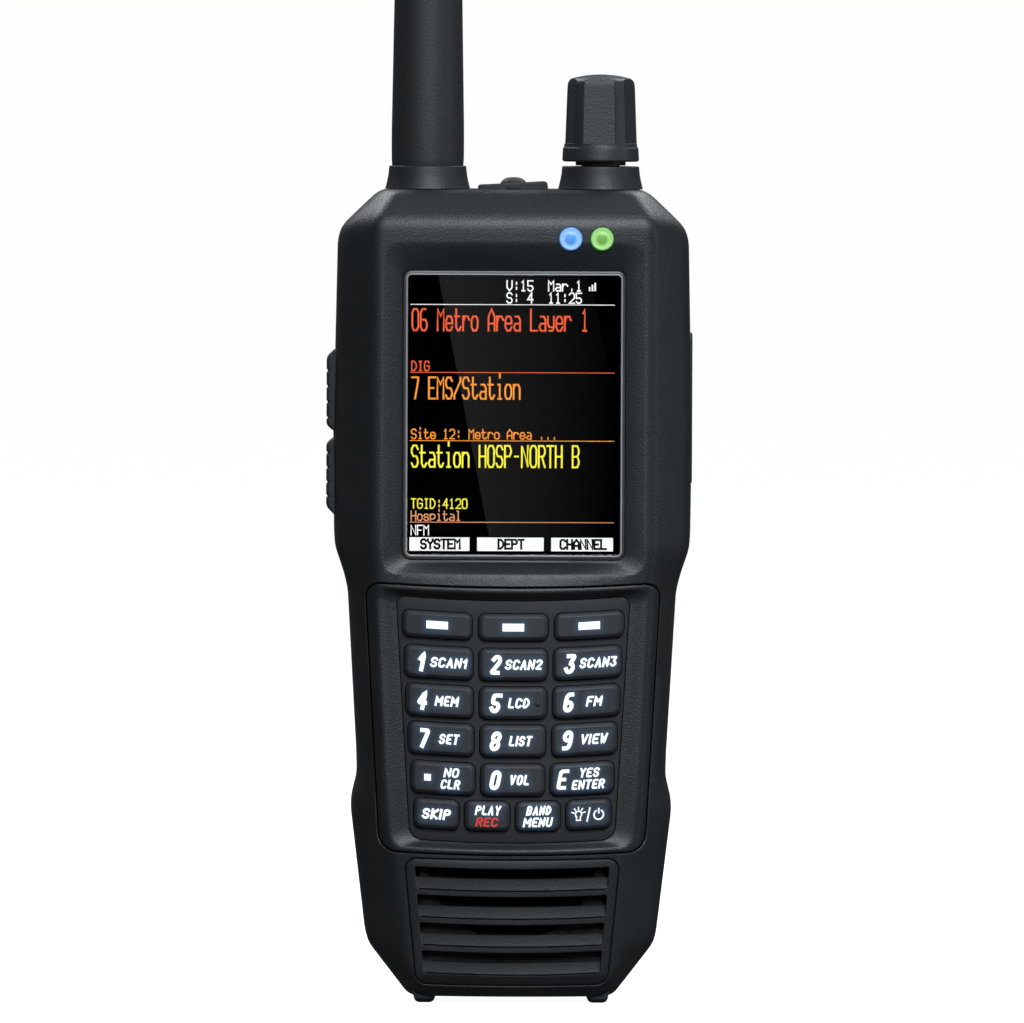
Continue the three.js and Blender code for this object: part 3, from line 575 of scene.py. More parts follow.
def finish_piece(piece, look, body, slot, *nodes):
    """Gives a piece its material and the body it rides on, and hides the CAD nodes it stands for. Its slot is
    not used.
    """
    piece.data.materials.clear()
    piece.data.materials.append(look)
    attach(piece, body)
    if nodes:
        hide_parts(*nodes)
    return piece


def repaint(look, *nodes):
    """Gives CAD nodes that are shown as they are a procedural material."""
    for node in nodes:
        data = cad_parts[node].data
        data.materials.clear()
        data.materials.append(look)


# ---------------------------------------------------------------- case


def cut_through(name, outline, clearance=SEAM):
    """A tool that cuts an outline through the front, with a small chamfer round its upper edge."""
    wide, narrow = outline(clearance + 0.5), outline(clearance)
    return solid(name, [lay(wide, flat=IN_FRONT), lay(wide, -0.3), lay(narrow, 0.2), lay(narrow, flat=-5)])


def dish_cut():
    """The shallow dish round the display: a soft upper edge, a slope, and the hole for the frame."""
    floor = GLASS_Y - 0.05
    outer, inner = DISH(), DISPLAY(0.5)
    loops = [lay(between(outer, inner, -0.3), flat=IN_FRONT)]
    for share in (-0.3, 0.0, 0.12, 0.28, 0.46, 0.66, 0.86, 1.0):
        fall = share * (0.62 + 0.38 * share)
        points = between(outer, inner, share)
        loops.append([
            (x, face_y(ox, oz) * (1 - fall) + floor * fall, z) for (x, z), (ox, oz) in zip(points, outer)
        ])
    loops += [lay(DISPLAY(SEAM), flat=floor + 0.15), lay(DISPLAY(SEAM), flat=-9.0)]
    return solid("dish_cut", loops)


def middle_of(node):
    """x and z of the middle of a CAD node."""
    low, high = case_box(node)
    return (low.x + high.x) / 2, (low.z + high.z) / 2


def lamp_cut(node):
    return along_y("lamp_cut", LAMP_RADIUS + 0.08, -25, -9, *middle_of(node))


def port_pocket():
    """The floor of the port's opening, behind the wall."""
    low, high = case_box("port_cover")
    return grid_box("port_pocket", 29.4, 31.6, low.y - 1, high.y + 1, low.z - 1, high.z + 1)


def port_cuts():
    """The port's opening, and the two holes in its floor: for the data plug and for a memory card."""
    low, high = case_box("port_cover")
    mouth = grid_box("port_cut", PORT_FLOOR, 40, low.y - SEAM, high.y + SEAM, low.z - SEAM, high.z + SEAM)
    low, high = case_box("usb_socket")
    data = grid_box("data_cut", 28, 33, low.y - 0.1, high.y + 0.1, low.z - 0.1, high.z + 0.1)
    card = grid_box("card_cut", 28, 33, low.y + 0.9, low.y + 1.9, 109.2, 121.2)
    return [mouth, data, card]


def side_key_cut():
    """The slot in the left wall for the two side keys, whose flanges lie inside the wall."""
    low, high = case_box("side_key_lower")[0], case_box("side_key_upper")[1]
    front, back = low.y + FLANGE - SEAM, high.y - FLANGE + SEAM
    return grid_box("side_key_cut", -40, -28, front, back, low.z - SEAM, high.z + SEAM)


def top_cuts():
    """The holes in the case's top for the antenna socket, the headphone jack and the knob's shaft."""
    holes = [(middle_of("antenna_collar")[0], 3.7), (0, 2.4), (middle_of("knob_collar")[0], 3.9)]
    return [lathe("top_cut", [(0, 140), (r, 140), (r, 160), (0, 160)], x, TOP_Y, 48) for x, r in holes]


def feet(y0, y1):
    """The two foot ridges, as solids along Y with rounded ends."""
    right = [(1.15, 0.0), (1.75, 0.35), (1.98, 1.0), (2.3, FOOT_TOP)]
    profile = softened([(-x, z) for x, z in reversed(right)] + right, [0.5] * 8, 4)
    ends = ((y0, 0.7), (y0 + 0.25, 0.3), (y0 + 0.7, 0.0), (y1 - 0.7, 0.0), (y1 - 0.25, 0.1), (y1, 0.3))
    return [solid("foot", [
        [(middle + dx, y, z + lift * (1 - z / FOOT_TOP)) for dx, z in profile] for y, lift in ends
    ]) for middle in (-16, 16)]


def front_case():
    made = half_case("front_case_shell", 0, CASE_BOTTOM, CASE_TOP, 1.1)
    carve(made, feet(-9.2, PART_Y - SEAM / 2), "UNION")
    hollows = [
        half_case("hollow", 0, CASE_BOTTOM + WALL, 79.0, 0.8, WALL, 0.2, 6.0),
        half_case("hollow", 0, 78.0, CASE_TOP - WALL, 0.8, WALL, 2.2, 6.0),
    ]
    carve(made, hollows)
    carve(made, [port_pocket()], "UNION")
    carve(made, [
        dish_cut(), cut_through("bezel_cut", BEZEL, 0.24), cut_through("grille_cut", GRILLE),
        lamp_cut("led_lens_blue"), lamp_cut("led_lens_green"), side_key_cut(), *port_cuts(), *top_cuts(),
    ])
    return finish_piece(made, CASE, "case", "case_plastic", "front_case")


def screw_places():
    return [middle_of(f"case_screw_{i}") for i in (1, 2, 3, 4)]


def rear_case():
    """The rear half. Its lip reaches behind the front half's wall, so that no light shows through the
    seam."""
    made = half_case("rear_case_shell", 1, CASE_BOTTOM, CASE_TOP, 1.1)
    carve(made, feet(PART_Y + SEAM / 2, BACK_Y - 0.4), "UNION")
    lip, inner = WALL + 0.04, WALL + 0.54
    carve(made, [half_case("lip", 1, CASE_BOTTOM + lip, CASE_TOP - lip, 0.8, lip, 0, 1.0)], "UNION")
    carve(made, [half_case("hollow", 1, CASE_BOTTOM + inner, CASE_TOP - inner, 0.8, inner, 0, 6.0)])
    bosses = [along_y("boss", 3.0, PART_Y + SEAM / 2, BACK_Y - 1, x, z) for x, z in screw_places()]
    half, floor, bottom, top, wall = 22.1, 1.4, 17.3, 93.9, 1.5
    bay = grid_box("bay", -half, half, floor, BACK_Y - 0.5, bottom, top)
    carve(made, [bay, *bosses], "UNION")
    room = grid_box("bay_room", wall - half, half - wall, floor + wall, 30, bottom + wall, top - wall)
    tools = [room, *top_cuts()]
    tools.append(grid_box("hook_slot", -12, 12, BACK_Y - 4, 30, 94.6, 98.4))
    for x, z in screw_places():
        tools += [along_y("screw_cut", 1.5, -10, 30, x, z), along_y("head_cut", 2.7, BACK_Y - 2.6, 30, x, z)]
    carve(made, tools)
    return finish_piece(made, CASE, "case", "case_plastic", "rear_case")


front_case()
rear_case()
repaint(BLACK_STEEL, "case_screw_1", "case_screw_2", "case_screw_3", "case_screw_4")

# ---------------------------------------------------------------- keypad

MAT_DEPTH = 1.5


def sag(x):
    """How much higher a row of keys is at x than at its reference."""
    return 0.9 * ((x / 21.6) ** 2 - 0.5)


def keypad_bezel():
    """The ring round the mat: a narrow face, and a slope down to the mat."""
    edge, window = BEZEL(-0.26), MAT(SEAM)
    loops = [lay(BEZEL(), 3.2), lay(BEZEL(), 0.28), lay(BEZEL(-0.08), 0.08), lay(edge)]
    slope = [
        (0.12, 0.0), (0.22, 0.02), (0.3, 0.08), (0.38, 0.19), (0.5, 0.42), (0.65, 0.74), (0.8, 1.05),
        (0.92, 1.27), (1.0, 1.38),
    ]
    loops += [lay(between(edge, window, share), depth) for share, depth in slope]
    loops.append(lay(window, 3.2))
    return finish_piece(solid("bezel_ring", loops, closed=True), CASE, "case", "case_plastic", "keypad_bezel")


# Each row's key names, width and height.
KEY_ROWS = [
    (("soft_left", "soft_middle", "soft_right"), 12.9, 5.0),
    (("1", "2", "3"), 12.7, 6.0), (("4", "5", "6"), 12.5, 6.0), (("7", "8", "9"), 12.2, 6.0),
    (("dot", "0", "enter"), 11.9, 6.0), (("avoid", "replay", "service", "power"), 8.4, 5.6),
]
KEYS = {name: (*middle_of(f"key_{name}"), wide, tall) for names, wide, tall in KEY_ROWS for name in names}


def on_key(name, u, v):
    """The place in x and z of a point on a key, measured from the key's middle along its bent row."""
    x, z = KEYS[name][:2]
    return x + u, z + v + sag(x + u) - sag(x)


def key_outline(name, grow):
    wide, tall = KEYS[name][2] / 2 + grow, KEYS[name][3] / 2 + grow
    corners = [(-wide, -tall), (wide, -tall), (wide, tall), (-wide, tall)]
    loop = round_corners(corners, [max(0.2, 1.35 + grow)] * 4, 24, 7)
    return [on_key(name, u, v) for u, v in loop]


def keypad_mat():
    made = slab("mat_sheet", MAT, [(-0.3, MAT_DEPTH), (-0.07, MAT_DEPTH + 0.06), (0, MAT_DEPTH + 0.25)], 2.7)
    holes = []
    for name in KEYS:
        outline = key_outline(name, 0.14)
        holes.append(solid("key_hole", [lay(outline, flat=-25), lay(outline, flat=-8)]))
    carve(made, holes)
    # The mat gets the darker copy of the keys' rubber, as painted shade.
    return finish_piece(made, LOOKS["mat_rubber_shaded"], "case", "keypad_rubber", "keypad_mat")


FACE_DEPTH = MAT_DEPTH - 1.2
MIDDLE_KEY = "5"


def touch_dot(x, z):
    """The low dome that a thumb finds on the middle key."""
    face = face_y(x, z) + FACE_DEPTH
    rows = ((0.5, -0.6), (0.5, 0.02), (0.45, 0.14), (0.33, 0.24), (0.15, 0.29))
    return solid("touch_dot", [[(x + u, face - rise, z + v) for u, v in ring(r, 24)] for r, rise in rows])


def key_cap(name, spots):
    """One key: a short skirt, a bevel and a face that follows the case's arch, and a plunger behind.
    spots are the points, in x and z, that light leaks from."""
    bevel = [(-0.78, 0), (-0.66, 0.03), (-0.12, 0.5), (-0.03, 0.62), (0, 0.8)]
    rows = [(grow, FACE_DEPTH + depth) for grow, depth in bevel]
    shares = tuple(np.linspace(0.94, 0.08, 14))
    made = slab(f"cap_{name}", lambda grow: key_outline(name, grow), rows, ("flat", -12.6), shares, 40)
    x, z = KEYS[name][:2]
    extras = [along_y("plunger", 1.5, -14.2, case_box(f"key_{name}")[1].y, x, z)]
    if name == MIDDLE_KEY:
        extras.append(touch_dot(*on_key(name, 4.55, -0.1)))
    carve(made, extras, "UNION", 40)
    tree = KDTree(len(spots))
    for i, (sx, sz) in enumerate(spots):
        tree.insert((sx, 0, sz), i)
    tree.balance()
    glow = made.data.attributes.new("glow", "FLOAT", "POINT")
    for i, vertex in enumerate(made.data.vertices):
        x, z = (vertex.co.x - CASE_X_M) / MM, vertex.co.z / MM
        near = tree.find((x, 0, z))[2]
        raised = (vertex.co.y - CASE_Y_M) / MM < face_y(x, z) + FACE_DEPTH + 0.5
        glow.data[i].value = math.exp(-((near / 0.55) ** 1.4)) if raised else 0.0
    return finish_piece(made, KEY_RUBBER, f"pad_{name}", "keypad_rubber", f"key_{name}")


# ---------------------------------------------------------------- legends


# Pen strokes of each character on a grid of 5 by 7: pairs of column and row, from the lower left.
STROKES = {
    "0": "10 01 05 16 36 45 41 30 10", "1": "15 26 20, 10 30", "2": "05 16 36 45 43 00 40",
    "3": "06 46 23 33 42 41 30 10 01", "4": "36 02 42, 36 30", "5": "46 06 03 33 42 41 30 10 01",
    "6": "36 16 05 01 10 30 41 42 33 03", "7": "06 46 45 20",
    "8": "13 04 05 16 36 45 44 33 13 02 01 10 30 41 42 33", "9": "10 30 41 45 36 16 05 04 13 43",
    ":": "21 22, 24 25", ".": "20 21", "/": "00 01 45 46", "-": "13 33",
    "A": "00 04 26 44 40, 02 42", "B": "00 06 36 45 44 33 03, 33 42 41 30 00",
    "C": "45 36 16 05 01 10 30 41", "D": "00 06 26 44 42 20 00", "E": "46 06 00 40, 03 33",
    "F": "46 06 00, 03 33", "G": "45 36 16 05 01 10 30 41 43 23", "H": "00 06, 40 46, 03 43",
    "I": "10 30, 20 26, 16 36", "K": "00 06, 46 03 40", "L": "06 00 40", "M": "00 06 24 46 40",
    "N": "00 06 40 46", "O": "10 01 05 16 36 45 41 30 10", "P": "00 06 36 45 44 33 03",
    "R": "00 06 36 45 44 33 03, 23 40", "S": "45 36 16 05 04 13 33 42 41 30 10 01", "T": "06 46, 26 20",
    "U": "06 01 10 30 41 46", "V": "06 02 20 42 46", "Y": "06 05 23 45 46, 23 20",
    "a": "14 34 43 40 10 01 12 42", "e": "02 42 43 34 14 03 01 10 30 41", "i": "14 24 20, 10 30, 26 27",
    "l": "16 26 20, 10 30", "n": "00 04, 03 14 34 43 40", "o": "10 01 03 14 34 43 41 30 10",
    "p": "00 04, 03 14 34 43 42 31 01", "r": "00 04, 02 14 34 43", "s": "43 34 14 03 12 32 41 30 10 01",
    "t": "16 11 20 30 41, 04 34", "y": "04 02 11 41, 44 41 30 10",
}
# Characters of the keys' bold legends that differ, and those that are narrow or wide.
BOLD_STROKES = {
    "1": "04 46 40", "2": "05 16 36 45 44 00 40", "4": "30 36 02 42", "7": "06 46 20", "A": "00 26 40, 12 32",
    "I": "00 06", "M": "00 06 22 46 40", "V": "06 20 46", "W": "06 10 24 30 46", "Y": "06 23 46, 23 20",
}
BOLD_WIDTH = {"1": 0.62, "I": 0.36, "M": 1.25, "L": 0.9, "E": 0.92, "T": 0.95}


def stroke(line, width, closed=False):
    """Points and faces of a pen stroke along a line of points, from depth 0 to depth 1."""
    line = [Vector(p) for p in line]
    count = len(line)
    left, right = [], []
    for i, here in enumerate(line):
        starts, ends = not closed and i == 0, not closed and i == count - 1
        first = (here - line[i - 1]).normalized()
        second = first if ends else (line[(i + 1) % count] - here).normalized()
        if starts:
            first = second
        normal = Vector((-first.y, first.x))
        square = Vector((-(first + second).y, (first + second).x))
        if square.length < 0.3:
            square = normal.copy()
        square.normalize()
        reach = square * (width / 2 / max(0.5, square.dot(normal)))
        end = here + first * (width / 2 * (ends - starts))
        left.append(end + reach)
        right.append(end - reach)
    points = [(p.x, p.y, depth) for depth in (0, 1) for p in left + right]
    faces = []
    back = 2 * count
    for i in range(count if closed else count - 1):
        j = (i + 1) % count
        a, b, c, d = i, j, count + j, count + i
        faces += [(a, b, c, d), (a + back, b + back, c + back, d + back)]
        faces += [(a, b, b + back, a + back), (d, c, c + back, d + back)]
    if not closed:
        faces += [(i, count + i, count + i + back, i + back) for i in (0, count - 1)]
    return np.array(points, float), faces


def joined(shapes):
    """Several shapes' points and faces as one."""
    points, faces = [], []
    for more, its_faces in shapes:
        faces += [tuple(i + len(points) for i in f) for f in its_faces]
        points += [tuple(p) for p in more]
    return np.array(points), faces


def circle_part(u, v, radius, first, last, count):
    """Points of a circle between two angles, in degrees."""
    turns = np.radians(np.linspace(first, last, count))
    return [(u + radius * math.cos(t), v + radius * math.sin(t)) for t in turns]


def block(left, right, low, high):
    """An upright rectangle."""
    corners = [(left, low), (right, low), (right, high), (left, high)]
    points = [(u, v, depth) for depth in (0, 1) for u, v in corners]
    sides = [(i, (i + 1) % 4, (i + 1) % 4 + 4, i + 4) for i in range(4)]
    return np.array(points, float), [(0, 1, 2, 3), (4, 5, 6, 7), *sides]


def apart(line, least):
    """The line without points that lie closer than that to the one before."""
    kept = [line[0]]
    for point in line[1:]:
        if np.linalg.norm(np.subtract(point, kept[-1])) > least:
            kept.append(point)
    if len(kept) > 2 and np.linalg.norm(np.subtract(kept[0], kept[-1])) < least:
        kept.pop()
    return kept


def character_strokes(strokes, place, width, bend=0.0):
    """A character's pen strokes. place gives the point of a column and a row of the pen's grid."""
    shapes = []
    for line in filter(None, strokes.split(", ")):
        pen = [place(int(p[0]), int(p[1])) for p in line.split()]
        closed = pen[0] == pen[-1]
        if closed:
            pen.pop()
        if bend:
            pen = apart(softened(pen, [bend] * len(pen), 3, closed), 0.15 * width)
        shapes.append(stroke(pen, width, closed))
    return shapes


def lettering(text, wide, tall, u=0.0, v=0.0, pen=0.4):
    """A bold slanted word that fills a box centred on u and v."""
    slant, gap = 0.2, 0.1 * tall
    shares = [BOLD_WIDTH.get(character, 1.0) for character in text]
    unit = (wide - slant * tall - gap * (len(text) - 1)) / sum(shares)
    shapes, left = [], u - wide / 2
    for character, share in zip(text, shares):
        across, up = (unit * share - pen) / 4, (tall - pen) / 6

        def place(column, row):
            rise = pen / 2 + row * up
            return left + pen / 2 + column * across + slant * rise, v - tall / 2 + rise

        shapes += character_strokes(BOLD_STROKES.get(character) or STROKES[character], place, pen, 0.55 * pen)
        left += unit * share + gap
    return joined(shapes)


def lamp_icon(u):
    """A small lamp with rays above it."""
    bulb = circle_part(u, 0.15, 0.58, -52, 232, 18)
    foot = [(u + 0.36, -0.32), (u + 0.36, -0.95), (u - 0.36, -0.95), (u - 0.36, -0.32)]
    shapes = [stroke(bulb, 0.22), stroke(foot, 0.22)]
    for t in np.radians([-72, -36, 0, 36, 72]):
        shapes.append(stroke([(u + r * math.sin(t), 0.15 + r * math.cos(t)) for r in (0.85, 1.3)], 0.2))
    return shapes


def power_icon(u):
    return [stroke(circle_part(u, -0.1, 0.88, 125, 415, 26), 0.26), stroke([(u, 0.25), (u, 1.0)], 0.26)]


def digit_key(digit, word, wide, u):
    figure = lettering(digit, 2.0 if digit == "1" else 2.65, 3.65, -3.2, 0.0, 0.74)
    return {"white": [figure, lettering(word, wide, 1.92, u, 0.05)]}


def two_words(upper, upper_wide, lower, lower_wide, u, colour="white"):
    """Two short words above each other. The lower one may have a colour of its own."""
    words = [lettering(upper, upper_wide, 1.78, u + 0.2, 1.08, 0.37)]
    more = lettering(lower, lower_wide, 1.78, u, -1.08, 0.37)
    return {"white": [*words, more]} if colour == "white" else {"white": words, colour: [more]}


def with_figure(shapes, figure):
    """The same legend with one more white shape."""
    return {**shapes, "white": [figure, *shapes["white"]]}


SOFT_BAR = {"white": [block(-2.03, 1.97, -0.7, 0.72)]}
LEGENDS = {
    "soft_left": SOFT_BAR, "soft_middle": SOFT_BAR, "soft_right": SOFT_BAR,
    "1": digit_key("1", "SCAN1", 7.1, 1.85), "2": digit_key("2", "SCAN2", 7.2, 1.95),
    "3": digit_key("3", "SCAN3", 7.2, 2.0), "4": digit_key("4", "MEM", 4.7, 1.35),
    "5": digit_key("5", "LCD", 4.3, 1.1), "6": digit_key("6", "FM", 3.3, 1.5),
    "7": digit_key("7", "SET", 4.0, 1.45), "8": digit_key("8", "LIST", 4.5, 1.4),
    "9": digit_key("9", "VIEW", 5.3, 1.75), "0": digit_key("0", "VOL", 4.0, 1.25),
    "dot": with_figure(two_words("NO", 3.1, "CLR", 3.9, 1.35), block(-3.5, -2.25, -0.62, 0.62)),
    "enter": with_figure(
        two_words("YES", 4.0, "ENTER", 6.4, 1.15), lettering("E", 2.55, 3.7, -3.6, 0.0, 0.66),
    ),
    "avoid": {"white": [lettering("SKIP", 5.6, 2.0, pen=0.44)]},
    "replay": two_words("PLAY", 5.0, "REC", 4.4, -0.05, "red"),
    "service": two_words("BAND", 4.9, "MENU", 5.7, 0.0),
    "power": {"white": [*lamp_icon(-1.85), stroke([(-0.25, -1.15), (0.25, 1.2)], 0.26), *power_icon(1.9)]},
}


def edge_spots(points, faces):
    """Points along the edges of a shape's front, some 0.12 mm apart."""
    spots = []
    for face in faces:
        for i, a in enumerate(face):
            p, q = points[face[i - 1]], points[a]
            if p[2] or q[2]:
                continue
            side = (q - p)[:2]
            pieces = max(1, int(math.hypot(*side) / 0.12))
            spots += [tuple(p[:2] + side * k / pieces) for k in range(pieces)]
    return spots


def key_and_legend(name):
    spots = []
    for colour, shapes in LEGENDS[name].items():
        points, faces = joined(shapes)
        if colour == "white":
            spots += [on_key(name, u, v) for u, v in edge_spots(points, faces)]
        placed = []
        for u, v, depth in points:
            x, z = on_key(name, u, v)
            placed.append((x, face_y(x, z) + FACE_DEPTH - 0.03 + 0.1 * depth, z))
        made = build(f"legend_{colour}_{name}", placed, faces)
        finish_piece(made, LEGEND[colour], f"pad_{name}", "keypad_rubber")
    key_cap(name, spots)


KEY_RUBBER = key_rubber()
LEGEND = {
    "white": glowing("legend_white", (0.88, 0.94, 1.0)),
    "red": glowing("legend_red", (0.62, 0.05, 0.04), 0.55),
}

keypad_bezel()
keypad_mat()
for key_name in KEYS:
    key_and_legend(key_name)
repaint(LOOKS["circuit_board"], "keypad_board", "main_board")

# ---------------------------------------------------------------- speaker grille

SLOT_TOP, SLOT_PITCH, SLOT_HEIGHT, SLOT_OPEN, SLOT_BOW = 25.4, 5.18, 4.2, 1.85, 0.42


def slot_cut(index):
    """One slot: open at its top, over a louvre that slopes forward to a thin groove at its foot."""
    top = SLOT_TOP - index * SLOT_PITCH
    bottom = top - SLOT_HEIGHT
    upper, lower = (float(np.interp(z, (3.7, 26.8), (16.1, 18.05))) for z in (top, bottom))
    outline = plate(top, bottom, upper, lower, 0.3, 0.75, bow=SLOT_BOW)
    wide = outline(0.45)
    made = solid("slot", [lay(wide, flat=-25), lay(wide, -0.3), lay(outline(), 0.15), lay(outline(), flat=2)])
    loops = []
    for x in np.linspace(-19, 19, 25):
        face = face_y(x, top - 2)
        z = top - SLOT_BOW * (1 - (x / upper) ** 2)
        foot, sill = z - SLOT_HEIGHT, z - SLOT_OPEN
        side = [
            (-30, foot - 1), (-30, z + 1), (4, z + 1), (4, sill), (face + 1.95, sill),
            (face + 1.8, sill - 0.12), (face + 0.36, foot + 0.3), (face + 0.44, foot + 0.22),
            (face + 1.2, foot + 0.2), (face + 1.2, foot - 1),
        ]
        loops.append([(x, y, height) for y, height in side])
    return carve(made, [solid("louvre", loops)], "INTERSECT")


def speaker_grille():
    made = slab("grille_panel", GRILLE, [(-0.3, 0.0), (-0.1, 0.06), (0, 0.22)], 3.2)
    carve(made, [slot_cut(i) for i in range(4)])
    return finish_piece(made, CASE, "case", "case_plastic", "speaker_grille")


speaker_grille()
repaint(CASE, "speaker_baffle")
repaint(LOOKS["speaker_cone"], "speaker")

# ---------------------------------------------------------------- display and lamps


def display_frame():
    """The ring round the display: a flat dark band, and a light grey bead along its inner edge."""
    band = [(0.0, -10.4), (0.0, -13.95), (-0.05, -14.1), (-0.15, -14.16), (-0.5, -14.16), (-0.5, -10.4)]
    made = stack("display_ring", DISPLAY, band, closed=True)
    finish_piece(made, LOOKS["frame_plastic"], "case", "frame_plastic", "display_frame")
    turns = np.linspace(0, math.pi, 9)
    roll = [(-0.65 + 0.15 * math.cos(t), -14.15 - 0.15 * math.sin(t)) for t in turns]
    made = stack("display_bead", DISPLAY, [(-0.5, -13.2), *roll, (-0.8, -13.2)], closed=True)
    finish_piece(made, LOOKS["frame_bead_grey"], "case", "frame_plastic")


def display_lens():
    look, shader = material("display_glass", Transmission_Weight=1.0, IOR=1.46, Roughness=0.0)
    tint(shader, noise(shader, 0.05, 4), (0.93, 0.94, 0.95), (0.97, 0.97, 0.97))
    rows = [(-0.9, GLASS_Y), (-0.85, GLASS_Y + 0.03), (-0.83, GLASS_Y + 0.1), (-0.83, GLASS_Y + 1.2)]
    made = stack("lens_plate", DISPLAY, rows, angle=8)
    return finish_piece(made, look, "case", "display_glass", "display_lens")


SCREEN_Y = -12.38


def dull_black(name, grain, low, high):
    """The display's unlit surface."""
    look, shader = material(name, Roughness=0.6, Specular_IOR_Level=0.0)
    tint(shader, noise(shader, grain), low, high)
    return look


def lcd_module():
    look = dull_black("screen", 1.2, (0.0006, 0.0006, 0.0008), (0.0012, 0.0012, 0.0015))
    rows = [(-1.2, SCREEN_Y), (-1.12, SCREEN_Y + 0.06), (-1.12, -9.8)]
    made = stack("screen_panel", DISPLAY, rows, angle=8)
    return finish_piece(made, look, "case", "screen", "lcd_module")


def screen_text(text, left, foot, pitch, tall, width):
    """A line of display text whose first character starts at left and stands at foot."""
    shapes = []
    across, up = pitch * 0.72 / 4, (tall - width) / 6
    for i, character in enumerate(text):

        def place(column, row):
            return left + pitch * i + width / 2 + column * across, foot + width / 2 + row * up

        shapes += character_strokes(STROKES.get(character, ""), place, width)
    return shapes


def rule(z, tall=0.14):
    return block(-19.2, 18.55, z - tall / 2, z + tall / 2)


def screen_layer(name, look, shapes, height=0.05):
    points, faces = joined(shapes)
    placed = [(u, SCREEN_Y - height + 0.03 * depth, v) for u, v, depth in points]
    return finish_piece(build(name, placed, faces), look, "case", "screen")


LEFT = -19.0
TALL = {"pitch": 1.564, "tall": 4.25, "width": 0.33}
SMALL = {"pitch": 1.18, "tall": 1.95, "width": 0.22}
STATUS = {"pitch": 1.28, "tall": 2.1, "width": 0.26}
LABEL = {"pitch": 1.25, "tall": 2.05, "width": 0.4}
# Left side, right side and word of the boxes in the bottom line.
LABEL_BOXES = [(-19.2, -8.1, "SYSTEM"), (-6.7, 5.6, "DEPT"), (7.0, 18.4, "CHANNEL")]
# Each coloured layer's tall text and small text with their feet, and its rule's height.
SCREEN_LAYERS = {
    "red": ((0.75, 0.09, 0.02), "06 Metro Area Layer 1", 124.2, "DIG", 116.8, 116.6),
    "orange": ((0.85, 0.28, 0.02), "7 EMS/Station", 111.6, "Site 12: Metro Area ...", 104.25, 104.0),
    "yellow": ((0.86, 0.78, 0.03), "Station HOSP-NORTH B", 99.0, "TGID:4120", 91.4, None),
    "salmon": ((0.68, 0.28, 0.12), "", 0, "Hospital", 89.15, 88.95),
}


def screen_contents():
    status = screen_text("V:15  Mar.1", -1.5, 131.6, **STATUS)
    status += screen_text("S: 4  11:25", -1.5, 129.35, **STATUS)
    status += [block(13.75 + 0.5 * k, 14.05 + 0.5 * k, 131.7, 132.5 + 0.38 * k) for k in range(3)]
    status += [rule(129.15)]
    status += screen_text("NFM", LEFT, 86.5, **SMALL)
    status += [block(left, right, 83.65, 86.15) for left, right, _ in LABEL_BOXES]
    screen_layer("screen_white", glowing("screen_white", (0.9, 0.9, 0.88)), status)
    labels = []
    for left, right, word in LABEL_BOXES:
        labels += screen_text(word, (left + right) / 2 - len(word) * 0.6, 83.9, **LABEL)
    dark = dull_black("screen_dark", 2, (0.002, 0.002, 0.002), (0.004, 0.004, 0.004))
    screen_layer("screen_labels", dark, labels, 0.09)
    for name, (colour, title, title_foot, note, note_foot, line) in SCREEN_LAYERS.items():
        shapes = screen_text(title, LEFT, title_foot, **TALL) + screen_text(note, LEFT, note_foot, **SMALL)
        if line:
            shapes.append(rule(line))
        screen_layer(f"screen_{name}", glowing(f"screen_{name}", colour), shapes)


# Radius and rise of the lamps' dome, from its tip to its rim.
LAMP_DOME = [
    (0, -0.34), (0.5, -0.33), (0.95, -0.26), (1.12, -0.16), (1.3, -0.1), (1.6, -0.13), (1.85, -0.2),
    (2.02, -0.2), (2.16, -0.1), (LAMP_RADIUS, 0.1),
]


def lamp(colour, *shades):
    """A lens with a dished face round a low dome, on a flange behind the case's wall."""
    node, sides = f"led_lens_{colour}", 64
    x, z = middle_of(node)
    rows = [(r, face_y(x, z) + y) for r, y in LAMP_DOME]
    rows += [(LAMP_RADIUS, -11.2), (2.7, -11.2), (2.7, -10.5)]
    loops = [[(x + u, y, z + v) for u, v in ring(r, sides)] for r, y in rows[1:]]
    points, faces = skin(loops, caps=False)
    faces.append(tuple(range(len(points) - sides, len(points))))
    close_tip(points, faces, 0, sides, (x, rows[0][1], z))
    look = lamp_lens(f"{node}_look", (x, z), *shades)
    return finish_piece(build(f"{node}_dome", points, faces, 50), look, "case", f"lamp_{colour}", node)


display_frame()
display_lens()
lcd_module()
screen_contents()
lamp("blue", (0.03, 0.08, 0.23), (0.19, 0.38, 0.66), (0.06, 0.22, 0.60))
lamp("green", (0.02, 0.11, 0.02), (0.25, 0.50, 0.15), (0.12, 0.30, 0.05))

# ---------------------------------------------------------------- top: antenna, jack and knob


def profile_of(rows, steps=5):
    """A lathe profile from rows of (radius, height, rounding)."""
    corners = [(r, z) for r, z, _ in rows]
    return [tuple(p) for p in softened(corners, [bend for *_, bend in rows], steps)]


def collar(node, bore):
    """A tapered collar, with a shallow well in its top."""
    x = middle_of(node)[0]
    rows = [
        (bore, 150.4, 0), (7.9, 150.4, 0.1), (7.72, 150.9, 0.4), (7.3, 152.8, 0.8), (7.12, 154.62, 0.25),
        (6.74, 154.62, 0.08), (6.7, 154.1, 0.1), (bore, 154.1, 0),
    ]
    made = lathe(f"{node}_ring", profile_of(rows), x, TOP_Y, 128)
    return finish_piece(made, LOOKS["collar_plastic"], "case", "case_plastic", node)


